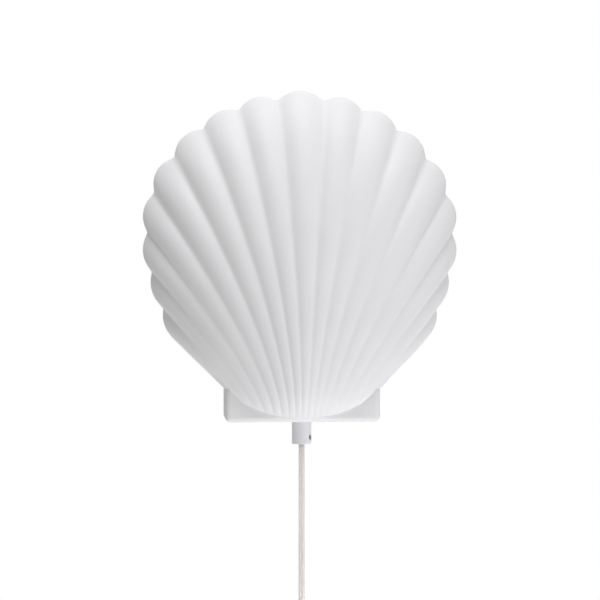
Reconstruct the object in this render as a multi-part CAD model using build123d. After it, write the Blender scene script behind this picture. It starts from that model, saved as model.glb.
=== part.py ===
"""Shell wall sconce: a cast ceramic scallop shell that hangs on a steel wall bracket.

Millimetres. X is to the right, +Z is up, the wall is the plane Y = 0 and the front faces -Y.
Heights in the sizes below are above the underside of the cast box. Each piece is moved down by
HANG_HEIGHT when it is written, so that the origin is the middle of the bracket on the wall.
"""
import math
import os

from build123d import *

# --- Hanging ---
HANG_HEIGHT = 190.0  # middle of the wall bracket above the underside of the box
FLAT_GAP = 0.3  # clearance between pieces that must not bind

# --- Shell outline, seen from the front ---
SIDE_RIBS = 8  # ribs on each side of the middle one
WALL = 5.0  # ceramic wall
RIM_GAP = 16.0  # wall plane to the shell's flat rim
RIM_POLE_HEIGHT = 154.0  # the rim is nearly a circle about this height
RIM_RADIUS_TOP = 144.5  # pole to the notches between the lobes, at the top
RIM_RADIUS_SIDE = 147.5
RIM_RADIUS_LOW = 136.5
RIM_RADIUS_END = 141.3  # pole to the end of the straight lower edge
MIDDLE_LOBE_HALF = 8.8  # degrees about the pole
LOBE_PITCH = 14.73
END_LOBE = 11.6
SIDE_ANGLE = 60.0  # where the notch radius is largest

# --- Shell bulge ---
DEPTH = 92.0  # wall plane to the deepest groove
SHOULDER_DEPTH = 28.0  # wall plane to the outermost edges, part way up
BELLY_HEIGHT = 0.36  # share of a rib's height at which the bulge is deepest
SEAM_DEPTH = 48.0  # wall plane to the line where the shell runs into the box
SEAM_RADIUS = 106.0  # the bulge's lower edge is an arc
SEAM_BASE = 3.2  # its lowest point above the underside of the box
SEAM_HALF = 71.6
SEAM_SPREAD = 0.62  # even share of the grooves' spacing along the seam; the rest widens outwards
FAN_BEND = 0.35  # how much later the middle grooves fan out than the side ones
RIDGE_SIDE = 1.6  # the bulge from the middle to the sides, as two powers
RIDGE_ROUND = 0.7
TUCK_ROUND = 2.4  # roundness of the bulge under the belly
UPPER_BEND = 1.6  # the slope from the belly to the rim, as two powers
UPPER_ROUND = 0.8
SEAM_END = 6  # how late the seam falls back at the box's ends, as a power
ROW_SPREAD = 1.3  # cross sections lie closer together at the belly's underside and the rim
RIB_RISE_SEAM = 0.06  # crest height over the groove line, as a share of the rib's width
RIB_RISE_RIM = 0.165
RIB_FULL_HEIGHT = 0.9  # share of the height at which the ribs have their full rise
END_RIB_RISE = 0.65  # the outermost ribs are flatter by this factor
RIM_TURN = 0.7  # level from which the crests lean into the rim's plane
LOWER_ROWS = 6  # cross sections from the seam to the belly
UPPER_ROWS = 12  # and from the belly to the rim
RIB_CHORDS = 6  # flats across a rib above the belly; two below it and inside, where ribs are low

# --- Box at the foot of the shell ---
BOX_WIDTH = 144.0
BOX_DEPTH = 52.0
BOX_HEIGHT = 33.0
BOX_EDGE = 5.0  # bevel of its outer edges
BOX_WALL = 5.0

# --- Lamp axis and thread ---
LAMP_Y = -32.0
NIPPLE_RADIUS = 5.0
NIPPLE_BORE = 3.6
NIPPLE_BELOW = 11.0
THREAD_CLEARANCE = 0.05
HOLE_CLEARANCE = 0.3
ROUND_SIDES = 24  # sides of the pieces that are turned about an upright axis
THROUGH = 1.0  # how far a cut runs past the faces it opens

# --- Cord and its grip ---
CORD_RADIUS = 2.8
CORD_CLEARANCE = 0.1
GRIP_RADIUS = 9.0
GRIP_HEIGHT = 20.8
GRIP_CHAMFER = 1.0
GRUB_DROP = 14.3  # grub screw below the box
GRUB_RADIUS = 2.0
GRUB_RECESS = 1.0
GRUB_TURN = 24.0  # degrees that it is turned from the right to the front

# --- Bracket, hanger bar and their fixings ---
STRAP = 2.0  # steel thickness of bracket and bar
BRACKET_WIDTH = 130.0
BRACKET_HEIGHT = 30.0
BRACKET_CORNER = 6.0
WALL_HOLE_RADIUS = 2.5
WALL_HOLE_SPACING = 60.0
HOOK_SPACING = 100.0
HOOK_WIDTH = 14.0
HOOK_LIP = 8.0
HOOK_SLACK = 0.5  # lip to the bar's front face
BAR_HEIGHT = 18.0
BAR_OVERHANG = 11.0
NOTCH_DEPTH = 3.0
LUG_SPACING = 200.0
LUG_RADIUS = 8.0
LUG_INSET = 3.0  # lug face in front of the rim plane
INSERT_FLATS = 7.0
INSERT_LENGTH = 8.0
SCREW_RADIUS = 2.0
SCREW_LENGTH = 8.0
SCREW_HEAD_RADIUS = 3.6
SCREW_HEAD = 2.4

# --- Lampholder and bulb (small Edison screw, 14 mm) ---
SEAL_RADIUS = 9.0
SEAL = 1.5
SEAT_MARGIN = 1.0  # flat seat round the washer in the box floor
NUT_FLATS = 14.0
NUT = 4.0
HOLDER_RADIUS = 14.0
HOLDER_WALL = 1.5
HOLDER_HUB = 7.5
CAP_LENGTH = 16.0
CAP_HUB_LENGTH = 4.0
SKIRT_LENGTH = 24.0
CORE_LENGTH = 7.0
SOCKET_RADIUS = 7.02
SOCKET_WALL = 0.5
SOCKET_LENGTH = 20.0
SOCKET_FOOT = 2.6
SOCKET_SINK = 3.0  # socket's foot below the top of the core's base
CORE_SINK = 4.0  # core's foot below the skirt's foot
COLLAR_WALL = 1.2
COLLAR_SHARE = 0.6  # share of the socket's length inside the core's collar
SKIRT_LIP = 1.5
SKIRT_MOUTH = 3.0  # gap between the lamp cap and the skirt's mouth
NIPPLE_INSIDE = 6.0  # nipple inside the holder's cap
TERMINAL_X = 10.3
TERMINAL_RADIUS = 1.4
TERMINAL_HEAD_RADIUS = 2.0
TERMINAL_HEAD = 1.4
CONTACT_WIDTH = 4.0
CONTACT_STRIP = 0.5
CONTACT_FOOT = 10.0
CONTACT_RISE = 2.3
CONTACT_TONGUE = 6.8
WIRE_RADIUS = 0.9
WIRE_SPREAD = 1.3
WIRE_STRAIGHT = (0.9, 1.5)  # at the sheath's end and at the screw
LAMP_CAP_RADIUS = 6.95
LAMP_CAP_LENGTH = 21.0
LAMP_CONTACT = 2.0
BULB_LENGTH = 78.0
BULB_RADIUS = 22.5
BULB_NECK_RADIUS = 9.0
BULB_NECK_ANGLE = -55.0  # where the globe starts, below its middle
BULB_CROWN_ANGLE = 80.0  # where its flattened crown starts
BULB_BANDS = 9

# --- Put-away cord, in-line switch and plug ---
COIL_HEIGHT = -212.0  # coil centre above the underside of the box
COIL_RADIUS = 33.6  # middle of its turns
COIL_STEP = 6.1  # from one turn to the next, and from one layer to the next
COIL_FLATS = 4.0  # across the flats of the coil's four-sided section
COIL_LAYER_HALVES = 6  # half turns in the first layer
CLIMB_INSET = 1.6  # the turn that changes layer lies this much further in
TIE_WIDTH = 6.0
TIE_WALL = 0.8
TIE_CLEARANCE = 0.6
LINK_LENGTH = 46.0  # coil to switch
TAIL_LENGTH = 32.0  # switch to plug
SWITCH_LENGTH = 60.0
SWITCH_WIDTH = 24.0
SWITCH_THICK = 16.0
SWITCH_WALL = 1.8
SWITCH_CHAMFER = 3.0
CORD_ENTRY = 9.0  # cord inside each end of the switch
ROCKER_LENGTH = 19.0
ROCKER_WIDTH = 11.0
ROCKER_TILT = 8.0
ROCKER_PIN = 1.25
ROCKER_PROUD = 1.6
ROCKER_PIN_DEPTH = 3.2  # pin below the cover's face
ROCKER_END_GAP = 0.6
ROCKER_DISH = 0.8  # its face falls back by this from the middle to the ends
ROCKER_BACK = (-1.0, 1.6)  # back of its ends and of its middle, from the pin
ROCKER_FOOT = 2.5  # half length of the back's flat middle
PIN_END_GAP = 0.1
CHEEK_LENGTH = 8.0
CLAMP = (2.0, 4.0)  # thickness and height of a cord clamp
CLAMP_INSET = 2.5
PLUG_WIDTH = 35.0
PLUG_THICK = 13.7
PLUG_LENGTH = 35.0
PLUG_NOSE = 14.0
PLUG_CHAMFER = 1.5
PLUG_CORNER = (4.0, 7.0)  # its foot's bevelled corners, across and up
PLUG_FLANK = 15.0  # height of its straight flanks above the foot
PLUG_NECK = 3.0
RELIEF_LENGTH = 25.0
RELIEF_RADIUS = 5.2
RELIEF_TIP = 4.0
PIN_RADIUS = 2.0
PIN_LENGTH = 19.0
PIN_SPACING = 18.6
PIN_ROOT = 8.0  # thicker end inside the plug
PIN_ROOT_RADIUS = 2.4

# --- Worked out from the sizes above ---
EDGE = SIDE_RIBS + 0.5
RIM_Y = -RIM_GAP
LUG_FACE_Y = RIM_Y - LUG_INSET - STRAP
BAR_Y = LUG_FACE_Y + STRAP / 2
BAR_SEAT = HANG_HEIGHT - BAR_HEIGHT / 2 + STRAP / 2
LUG_HEIGHT = BAR_SEAT - NOTCH_DEPTH + BAR_HEIGHT / 2
LIP_Y = LUG_FACE_Y - HOOK_SLACK
SEAL_Z = BOX_WALL
NUT_Z = SEAL_Z + SEAL
CAP_Z = NUT_Z + NUT
SKIRT_Z = CAP_Z + CAP_LENGTH
CORE_Z = SKIRT_Z - CORE_SINK
CORE_TOP = CORE_Z + CORE_LENGTH
NIPPLE_TOP = CAP_Z + NIPPLE_INSIDE
SOCKET_Z = CORE_TOP - SOCKET_SINK
LAMP_Z = SOCKET_Z + SOCKET_FOOT
COIL_X = COIL_RADIUS + (COIL_LAYER_HALVES - 0.5) * COIL_STEP / 4
LAYER_Y = (LAMP_Y, LAMP_Y + COIL_STEP)
TAIL_X = COIL_STEP / 2
SWITCH_TOP = COIL_HEIGHT - LINK_LENGTH
SWITCH_MID = SWITCH_TOP - SWITCH_LENGTH / 2
PLUG_TOP = SWITCH_TOP - SWITCH_LENGTH - TAIL_LENGTH


# --- The scalloped shell ---
def ease(share):
    """A smooth step from 0 to 1."""
    return (1 - math.cos(math.pi * min(max(share, 0.0), 1.0))) / 2


def rim_point(station, inset):
    """X and Z on the rim. Stations are rib numbers from the middle, and halves are grooves."""
    count = abs(station)
    last = EDGE - 1
    if count <= 0.5:
        angle = MIDDLE_LOBE_HALF * count / 0.5
    else:
        angle = MIDDLE_LOBE_HALF + LOBE_PITCH * (min(count, last) - 0.5)
    end_angle = MIDDLE_LOBE_HALF + LOBE_PITCH * (last - 0.5)
    if count > last:
        radius = RIM_RADIUS_LOW + (RIM_RADIUS_END - RIM_RADIUS_LOW) * (count - last)
        angle += END_LOBE * (count - last)
    elif angle < SIDE_ANGLE:
        radius = RIM_RADIUS_TOP + (RIM_RADIUS_SIDE - RIM_RADIUS_TOP) * ease(angle / SIDE_ANGLE)
    else:
        fall = ease((angle - SIDE_ANGLE) / (end_angle - SIDE_ANGLE))
        radius = RIM_RADIUS_SIDE + (RIM_RADIUS_LOW - RIM_RADIUS_SIDE) * fall
    turn = math.copysign(math.radians(angle), station)
    reach = radius - inset
    return reach * math.sin(turn), RIM_POLE_HEIGHT + reach * math.cos(turn)


def seam_point(station, inset):
    """X and Z on the arc where the bulge runs into the box."""
    share = abs(station) / EDGE
    spread = SEAM_SPREAD * share + (1 - SEAM_SPREAD) * share**3
    x = math.copysign((SEAM_HALF - inset) * spread, station)
    return x, SEAM_BASE + inset + SEAM_RADIUS - math.sqrt(SEAM_RADIUS**2 - x * x)


def groove_point(station, level, inset=0.0):
    """A point on a groove line. The level is -1 at the seam, 0 at the belly and 1 at the rim."""
    side = min(abs(station) / EDGE, 1.0)
    if level < 0:
        rise = BELLY_HEIGHT * (1 - math.sin(-level * math.pi / 2))
    else:
        rise = BELLY_HEIGHT + (1 - BELLY_HEIGHT) * level
    x_rim, z_rim = rim_point(station, inset)
    x_seam, z_seam = seam_point(station, inset)
    x = x_seam + (x_rim - x_seam) * rise ** (1 + FAN_BEND * (1 - side * side))
    z = z_seam + (z_rim - z_seam) * rise
    shoulder = SHOULDER_DEPTH - inset
    ridge = shoulder + (DEPTH - inset - shoulder) * (1 - side**RIDGE_SIDE) ** RIDGE_ROUND
    if level < 0:
        seam = shoulder + (SEAM_DEPTH - SHOULDER_DEPTH) * (1 - side**SEAM_END)
        tuck = math.sin(-level * math.pi / 2)
        depth = seam + (ridge - seam) * (1 - tuck**TUCK_ROUND) ** (1 / TUCK_ROUND)
    else:
        depth = RIM_GAP + (ridge - RIM_GAP) * (1 - level**UPPER_BEND) ** UPPER_ROUND
    return Vector(x, -depth, z)


def levels():
    """Levels of the cross sections, from the seam to the rim."""
    lower = [-((1 - row / LOWER_ROWS) ** ROW_SPREAD) for row in range(LOWER_ROWS)]
    upper = [1 - (1 - row / UPPER_ROWS) ** ROW_SPREAD for row in range(UPPER_ROWS + 1)]
    return lower + upper


def section(row_levels, row, inset):
    """Groove points of one cross section, and the crest points between them."""
    level = row_levels[row]
    below = row_levels[max(row - 1, 0)]
    above = row_levels[min(row + 1, len(row_levels) - 1)]
    stations = [step - EDGE for step in range(2 * SIDE_RIBS + 2)]
    grooves = [groove_point(station, level, inset) for station in stations]
    height = BELLY_HEIGHT * (1 + level) if level < 0 else BELLY_HEIGHT + (1 - BELLY_HEIGHT) * level
    rise = RIB_RISE_SEAM + (RIB_RISE_RIM - RIB_RISE_SEAM) * min(height / RIB_FULL_HEIGHT, 1.0)
    lean = ease((level - RIM_TURN) / (1 - RIM_TURN))
    crests = []
    for left, right, station in zip(grooves, grooves[1:], stations):
        middle = station + 0.5
        along = groove_point(middle, above, inset) - groove_point(middle, below, inset)
        outward = (right - left).cross(along).normalized()
        if outward.Y > 0:
            outward = -outward
        flat = (right - left).cross(Vector(0, -1, 0)).normalized()
        if flat.dot(outward) < 0:
            flat = -flat
        outward = outward * (1 - lean) + flat * lean
        factor = END_RIB_RISE if abs(middle) > SIDE_RIBS - 0.5 else 1.0
        reach = rise * factor * (right - left).length
        if row == 0:
            reach = 0.0
        crests.append((left + right) / 2 + outward.normalized() * reach)
    return grooves, crests


def chain(grooves, crests, chords=2):
    """One row of points in order: each rib as chords of the arc over its crest."""
    points = [grooves[0]]
    for left, right, crest in zip(grooves, grooves[1:], crests):
        if chords == 2:
            points += [crest, right]
            continue
        arc = Edge.make_three_point_arc(left, crest, right)
        points += [arc.position_at(step / chords) for step in range(1, chords)] + [right]
    return points


def triangle(first, second, third):
    return Face(Wire.make_polygon([first, second, third]))


def stitch(first, second):
    """Flat triangles between two chains of points that run the same way."""
    faces = []
    here = 0
    there = 0
    while here < len(first) - 1 or there < len(second) - 1:
        next_here = (here + 1) / (len(first) - 1)
        next_there = (there + 1) / (len(second) - 1)
        if next_here <= next_there:
            faces.append(triangle(first[here], second[there], first[here + 1]))
            here += 1
        else:
            faces.append(triangle(first[here], second[there], second[there + 1]))
            there += 1
    return faces


def shell_wall():
    """The ribbed wall: finely faceted ribs outside, broader facets inside."""
    rows = levels()
    outside = [section(rows, row, 0.0) for row in range(len(rows))]
    inner_rows = rows[::2]
    inside = [section(inner_rows, row, WALL) for row in range(len(inner_rows))]
    outer = [chain(*outside[row], 2 if row < LOWER_ROWS else RIB_CHORDS) for row in range(len(rows))]
    inner = [chain(*row) for row in inside]
    faces = stitch(outer[0], inner[0])
    for skin in (outer, inner):
        for low, high in zip(skin, skin[1:]):
            faces += stitch(low, high)
    for end in (0, -1):
        faces += stitch([grooves[end] for grooves, _ in outside], [grooves[end] for grooves, _ in inside])
    for rib in range(2 * SIDE_RIBS + 1):
        front = outer[-1][RIB_CHORDS * rib:RIB_CHORDS * (rib + 1) + 1]
        back = inner[-1][2 * rib:2 * rib + 3]
        faces.append(Face(Wire.make_polygon([*front, *reversed(back)])))
    return Solid(Shell([-face for face in faces]))


def box_part():
    """The plain box under the bulge: a block with the bulge's trough in its top, hollow behind."""
    block = Pos(0, -BOX_DEPTH / 2, BOX_HEIGHT / 2) * Box(BOX_WIDTH, BOX_DEPTH, BOX_HEIGHT)
    front = block.faces().sort_by(Axis.Y)[0].edges()
    under = block.edges().filter_by(Axis.Y).group_by(Axis.Z)[0]
    edges = front.filter_by(Axis.Z) + front.filter_by(Axis.X).sort_by(Axis.Z)[:1] + under
    block = chamfer(edges, BOX_EDGE)
    base = SEAM_BASE + WALL / 2
    half = SEAM_HALF - WALL / 2
    ends = base + SEAM_RADIUS - math.sqrt(SEAM_RADIUS**2 - half**2)
    with BuildSketch(Plane.XZ) as trough:
        with BuildLine():
            ThreePointArc((-half, ends), (0, base), (half, ends))
            Polyline((half, ends), (half, ends + BOX_HEIGHT), (-half, ends + BOX_HEIGHT), (-half, ends))
        make_face()
    block -= extrude(trough.sketch, amount=BOX_DEPTH + THROUGH)
    depth = SHOULDER_DEPTH - WALL
    room = Box(BOX_WIDTH - 2 * BOX_WALL, depth, BOX_HEIGHT)
    return block - Pos(0, -depth / 2, BOX_WALL + BOX_HEIGHT / 2) * room


def wall_point(x, z, inset):
    """The point of the wall at a given X and Z, found by stepping along its two directions."""
    station, level, step = EDGE * 0.7, 0.6, 1e-4
    for _ in range(30):
        here = groove_point(station, level, inset)
        across = (groove_point(station + step, level, inset) - here) / step
        along = (groove_point(station, level + step, inset) - here) / step
        gap_x, gap_z = x - here.X, z - here.Z
        area = across.X * along.Z - across.Z * along.X
        station += 0.7 * (gap_x * along.Z - gap_z * along.X) / area
        level = min(level + 0.7 * (across.X * gap_z - across.Z * gap_x) / area, 0.99)
    return here, across.cross(along).normalized()


def lug(side):
    """A cast boss from the wall back to the hanger bar, with a hole for its insert."""
    root, normal = wall_point(LUG_SPACING / 2, LUG_HEIGHT, WALL / 2)
    length = -DEPTH - LUG_FACE_Y
    axis = Plane(origin=(LUG_SPACING / 2, LUG_FACE_Y, LUG_HEIGHT), z_dir=(0, 1, 0))
    boss = extrude(axis * Circle(LUG_RADIUS), amount=length)
    boss = split(boss, bisect_by=Plane(origin=root, z_dir=normal), keep=Keep.BOTH)
    boss = boss.solids().sort_by(Axis.Y)[-1]
    return boss if side > 0 else mirror(boss, Plane.YZ)


def insert_hole(side, grow):
    """The hexagonal socket of a brass insert, or the insert itself."""
    face = Plane(origin=(side * LUG_SPACING / 2, LUG_FACE_Y, LUG_HEIGHT), z_dir=(0, -1, 0))
    outline = RegularPolygon(INSERT_FLATS / 2 + grow, 6, major_radius=False)
    return extrude(face * outline, amount=INSERT_LENGTH + grow)


def shell_body():
    body = shell_wall() + box_part()
    for side in (-1, 1):
        body += lug(side)
        body -= insert_hole(side, THREAD_CLEARANCE)
    body -= rod(SEAL_RADIUS + SEAT_MARGIN, BOX_WALL, 3 * BOX_WALL)
    return body - rod(NIPPLE_RADIUS + HOLE_CLEARANCE, -THROUGH, BOX_WALL + THROUGH)


# --- Round pieces on the lamp axis ---
def turned(profile, x=0.0, y=LAMP_Y):
    """A many-sided piece about an upright axis, from radius and height pairs, up its outside."""
    corner = 1 / math.cos(math.pi / ROUND_SIDES)  # radii are measured to the flats
    turns = [2 * math.pi * side / ROUND_SIDES for side in range(ROUND_SIDES + 1)]
    rings = [
        [Vector(x + radius * corner * math.cos(turn), y + radius * corner * math.sin(turn), height)
         for turn in turns]
        for radius, height in profile
    ]
    faces = []
    for (low, low_ring), (high, high_ring) in zip(
            zip(profile, rings), zip(profile[1:] + profile[:1], rings[1:] + rings[:1])):
        for side in range(ROUND_SIDES):
            here, there = low_ring[side:side + 2], high_ring[side:side + 2]
            if low[0] == high[0] == 0:
                continue
            if low[0] == 0:
                corners = [here[0], there[1], there[0]]
            elif high[0] == 0:
                corners = [here[0], here[1], there[0]]
            else:
                corners = [here[0], here[1], there[1], there[0]]
            faces.append(Face(Wire.make_polygon(corners)))
    return Solid(Shell(faces))


def ring(outer, inner, low, high, x=0.0, y=LAMP_Y):
    return turned([(inner, low), (outer, low), (outer, high), (inner, high)], x, y)


def rod(radius, low, high, x=0.0, y=LAMP_Y):
    """A true round rod, for holes and what goes through them."""
    return Pos(x, y, (low + high) / 2) * Cylinder(radius, high - low)


def bar(radius, low, high, x=0.0, y=LAMP_Y):
    """A solid many-sided rod."""
    return turned([(0, low), (radius, low), (radius, high), (0, high)], x, y)


def lock_nut():
    nut = extrude(Pos(0, LAMP_Y, NUT_Z) * RegularPolygon(NUT_FLATS / 2, 6, major_radius=False), NUT)
    return nut - bar(NIPPLE_RADIUS + THREAD_CLEARANCE, NUT_Z - THROUGH, NUT_Z + NUT + THROUGH)


def holder_cap():
    """The lampholder's base: a cup on the nipple, closed round the cord."""
    inner = HOLDER_RADIUS - HOLDER_WALL
    bore = NIPPLE_RADIUS + THREAD_CLEARANCE
    floor = CAP_Z + CAP_HUB_LENGTH
    return turned([
        (bore, CAP_Z), (HOLDER_HUB, CAP_Z), (HOLDER_HUB, floor), (HOLDER_RADIUS, floor),
        (HOLDER_RADIUS, SKIRT_Z), (inner, SKIRT_Z), (inner, floor + HOLDER_WALL), (bore, floor + HOLDER_WALL),
    ])


def holder_core():
    """The insulating core that carries the socket, with its collar."""
    outer = HOLDER_RADIUS - HOLDER_WALL - CORD_CLEARANCE
    socket = SOCKET_RADIUS + SOCKET_WALL + CORD_CLEARANCE
    collar = socket + COLLAR_WALL
    collar_top = SOCKET_Z + SOCKET_LENGTH * COLLAR_SHARE
    core = turned([
        (0, CORE_Z), (outer, CORE_Z), (outer, CORE_TOP), (collar, CORE_TOP), (collar, collar_top),
        (socket, collar_top), (socket, SOCKET_Z), (0, SOCKET_Z),
    ])
    for side in (-1, 1):
        core -= bar(TERMINAL_RADIUS + THREAD_CLEARANCE, CORE_Z - THROUGH, CORE_TOP + THROUGH, side * TERMINAL_X)
    return core


def holder_skirt():
    inner = HOLDER_RADIUS - HOLDER_WALL
    top = SKIRT_Z + SKIRT_LENGTH
    mouth = LAMP_CAP_RADIUS + SKIRT_MOUTH
    return turned([
        (inner, SKIRT_Z), (HOLDER_RADIUS, SKIRT_Z), (HOLDER_RADIUS, top), (mouth, top),
        (mouth, top - SKIRT_LIP), (inner, top - 2 * SKIRT_LIP),
    ])


def terminal_screws():
    """Two screws through the core that clamp the wires."""
    return [
        bar(TERMINAL_RADIUS, CORE_Z, CORE_TOP, side * TERMINAL_X)
        + bar(TERMINAL_HEAD_RADIUS, CORE_Z - TERMINAL_HEAD, CORE_Z, side * TERMINAL_X)
        for side in (-1, 1)
    ]


def socket_contact():
    """The springy tongue at the bottom of the socket."""
    back = CONTACT_FOOT / 2
    foot = Box(CONTACT_WIDTH, CONTACT_FOOT, CONTACT_STRIP, align=(Align.CENTER, Align.CENTER, Align.MIN))
    post = Box(CONTACT_WIDTH, CONTACT_STRIP, CONTACT_RISE, align=(Align.CENTER, Align.MAX, Align.MIN))
    tongue = Box(CONTACT_WIDTH, CONTACT_TONGUE, CONTACT_STRIP, align=(Align.CENTER, Align.MAX, Align.MAX))
    return Pos(0, LAMP_Y, SOCKET_Z) * (foot + Pos(0, back, 0) * post + Pos(0, back, CONTACT_RISE) * tongue)


def socket_shell():
    return ring(SOCKET_RADIUS + SOCKET_WALL, SOCKET_RADIUS, SOCKET_Z, SOCKET_Z + SOCKET_LENGTH)


def bulb_glass():
    """A small globe bulb, as rings from its neck to its crown."""
    low = LAMP_Z + LAMP_CONTACT + LAMP_CAP_LENGTH
    middle = LAMP_Z + BULB_LENGTH - BULB_RADIUS
    rings = [(0, low), (BULB_NECK_RADIUS, low)]
    for band in range(BULB_BANDS):
        turn = math.radians(BULB_NECK_ANGLE + (BULB_CROWN_ANGLE - BULB_NECK_ANGLE) * band / (BULB_BANDS - 1))
        rings.append((BULB_RADIUS * math.cos(turn), middle + BULB_RADIUS * math.sin(turn)))
    return turned([*rings, (0, rings[-1][1])])


def cord_grip():
    """The cord grip under the box, threaded on the nipple, with a radial hole for its screw."""
    upper = NIPPLE_RADIUS + THREAD_CLEARANCE
    lower = CORD_RADIUS + CORD_CLEARANCE
    step = -NIPPLE_BELOW - FLAT_GAP
    edge = GRIP_RADIUS - GRIP_CHAMFER
    grip = turned([
        (lower, -GRIP_HEIGHT), (edge, -GRIP_HEIGHT), (GRIP_RADIUS, GRIP_CHAMFER - GRIP_HEIGHT),
        (GRIP_RADIUS, 0), (upper, 0), (upper, step), (lower, step),
    ])
    return grip - grub(CORD_RADIUS, GRIP_RADIUS + THROUGH, GRUB_RADIUS + THREAD_CLEARANCE)


def grub(inner, outer, radius):
    """A radial rod on the grip's right-hand side, turned a little to the front."""
    length = outer - inner
    turn = Pos(0, LAMP_Y, -GRUB_DROP) * Rot(0, 0, -GRUB_TURN)
    return turn * Pos(inner + length / 2, 0, 0) * Rot(0, 90, 0) * Cylinder(radius, length)


# --- Steel bracket and hanger bar ---
def wall_bracket():
    """A flat strap with two upturned hooks and two screw holes."""
    face = Plane(origin=(0, 0, HANG_HEIGHT), x_dir=(1, 0, 0), z_dir=(0, -1, 0))
    plate = extrude(face * RectangleRounded(BRACKET_WIDTH, BRACKET_HEIGHT, BRACKET_CORNER), STRAP)
    arm_reach = -LIP_Y + STRAP
    for side in (-1, 1):
        x = side * HOOK_SPACING / 2
        arm = Pos(x, -arm_reach / 2, BAR_SEAT - STRAP / 2) * Box(HOOK_WIDTH, arm_reach, STRAP)
        lip_height = STRAP + HOOK_LIP
        lip = Pos(x, LIP_Y - STRAP / 2, BAR_SEAT - STRAP + lip_height / 2) * Box(HOOK_WIDTH, STRAP, lip_height)
        plate += arm + lip
        plate -= Pos(side * WALL_HOLE_SPACING / 2, 0, HANG_HEIGHT) * Rot(90, 0, 0) * Cylinder(WALL_HOLE_RADIUS, 20)
    return plate


def hanger_bar():
    """The strap across the back of the shell, notched where it sits on the hooks."""
    low = BAR_SEAT - NOTCH_DEPTH
    bar = Pos(0, BAR_Y, low + BAR_HEIGHT / 2) * Box(LUG_SPACING + 2 * BAR_OVERHANG, STRAP, BAR_HEIGHT)
    notch = Box(HOOK_WIDTH + 2 * FLAT_GAP, 2 * STRAP, 2 * NOTCH_DEPTH)
    for side in (-1, 1):
        bar -= Pos(side * HOOK_SPACING / 2, BAR_Y, low) * notch
        hole = Rot(90, 0, 0) * Cylinder(SCREW_RADIUS + HOLE_CLEARANCE, 3 * STRAP)
        bar -= Pos(side * LUG_SPACING / 2, BAR_Y, LUG_HEIGHT) * hole
    return bar


def along_wall(side, radius, back, front):
    """A rod square to the wall at a lug, from one Y to another."""
    turn = Rot(90, 0, 0) * Cylinder(radius, back - front)
    return Pos(side * LUG_SPACING / 2, (back + front) / 2, LUG_HEIGHT) * turn


def lug_inserts():
    back, front = LUG_FACE_Y + THROUGH, LUG_FACE_Y - INSERT_LENGTH - THROUGH
    return [
        insert_hole(side, 0.0) - along_wall(side, SCREW_RADIUS + THREAD_CLEARANCE, back, front)
        for side in (-1, 1)
    ]


def hanger_screws():
    back = BAR_Y + STRAP / 2
    return [
        along_wall(side, SCREW_HEAD_RADIUS, back + SCREW_HEAD, back)
        + along_wall(side, SCREW_RADIUS, back, back - SCREW_LENGTH)
        for side in (-1, 1)
    ]


# --- Cord: straight drop, put-away coil, switch and plug ---
def coil_halves():
    """Ends of the coil's half turns: X, layer and whether the tube heads down there."""
    outer = COIL_RADIUS + (COIL_LAYER_HALVES - 0.5) * COIL_STEP / 4
    total = 2 * COIL_LAYER_HALVES
    stops = []
    for half in range(total + 1):
        inward = min(half, COIL_LAYER_HALVES)
        outward = max(half - COIL_LAYER_HALVES - 1, 0)
        reach = outer - (inward - outward) * COIL_STEP / 2
        if half in (COIL_LAYER_HALVES, COIL_LAYER_HALVES + 1):
            reach -= CLIMB_INSET
        side = -1 if half % 2 == 0 else 1
        layer = 0 if half <= COIL_LAYER_HALVES else 1
        stops.append((COIL_X + side * reach, LAYER_Y[layer]))
    return stops


def climb(start, end):
    """Two quarter turns that carry the tube from one layer to the other."""
    drop = math.hypot(end.X - start.X, end.Y - start.Y) / 2
    middle = (start + end) / 2 - Vector(0, 0, drop)
    return [
        Edge.make_tangent_arc(start, Vector(0, 0, -1), middle),
        Edge.make_tangent_arc(middle, end - start, end),
    ]


def coil_path():
    """The coil's centre line: straight ends, half turns, and the climb between its layers."""
    stops = [Vector(x, y, COIL_HEIGHT) for x, y in coil_halves()]
    straight = Vector(0, 0, 2 * CORD_RADIUS)
    edges = [Edge.make_line(stops[0] + straight, stops[0])]
    for half, (start, end) in enumerate(zip(stops, stops[1:])):
        if half == COIL_LAYER_HALVES:
            edges += climb(start, end)
            continue
        sag = (end - start).length / 2 * (-1 if half % 2 == 0 else 1)
        edges.append(Edge.make_three_point_arc(start, (start + end) / 2 + Vector(0, 0, sag), end))
    edges.append(Edge.make_line(stops[-1], stops[-1] - straight))
    return edges


def coil_gap(edges):
    """Least clear distance between neighbouring turns of the coil."""
    points = []
    travelled = 0.0
    for edge in edges:
        for step in range(48):
            points.append((travelled + edge.length * step / 48, edge.position_at(step / 48)))
        travelled += edge.length
    far = math.pi * CORD_RADIUS * 4
    gaps = [
        (here - there).length
        for index, (along, here) in enumerate(points)
        for other, there in points[index + 1:]
        if other - along > far
    ]
    return min(gaps) - 2 * CORD_RADIUS


def cord_coil():
    edges = coil_path()
    start = Plane(origin=edges[0].position_at(0), z_dir=(0, 0, -1))
    section = Rectangle(COIL_FLATS, COIL_FLATS)
    tube = sweep(start * section, Wire(edges))
    length = sum(edge.length for edge in edges)
    print(f"coil: {length:.0f} mm of cord, least gap {coil_gap(edges):.2f} mm,")
    print(f"coil volume over section times length {tube.volume / (section.area * length):.4f}")
    return tube


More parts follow.
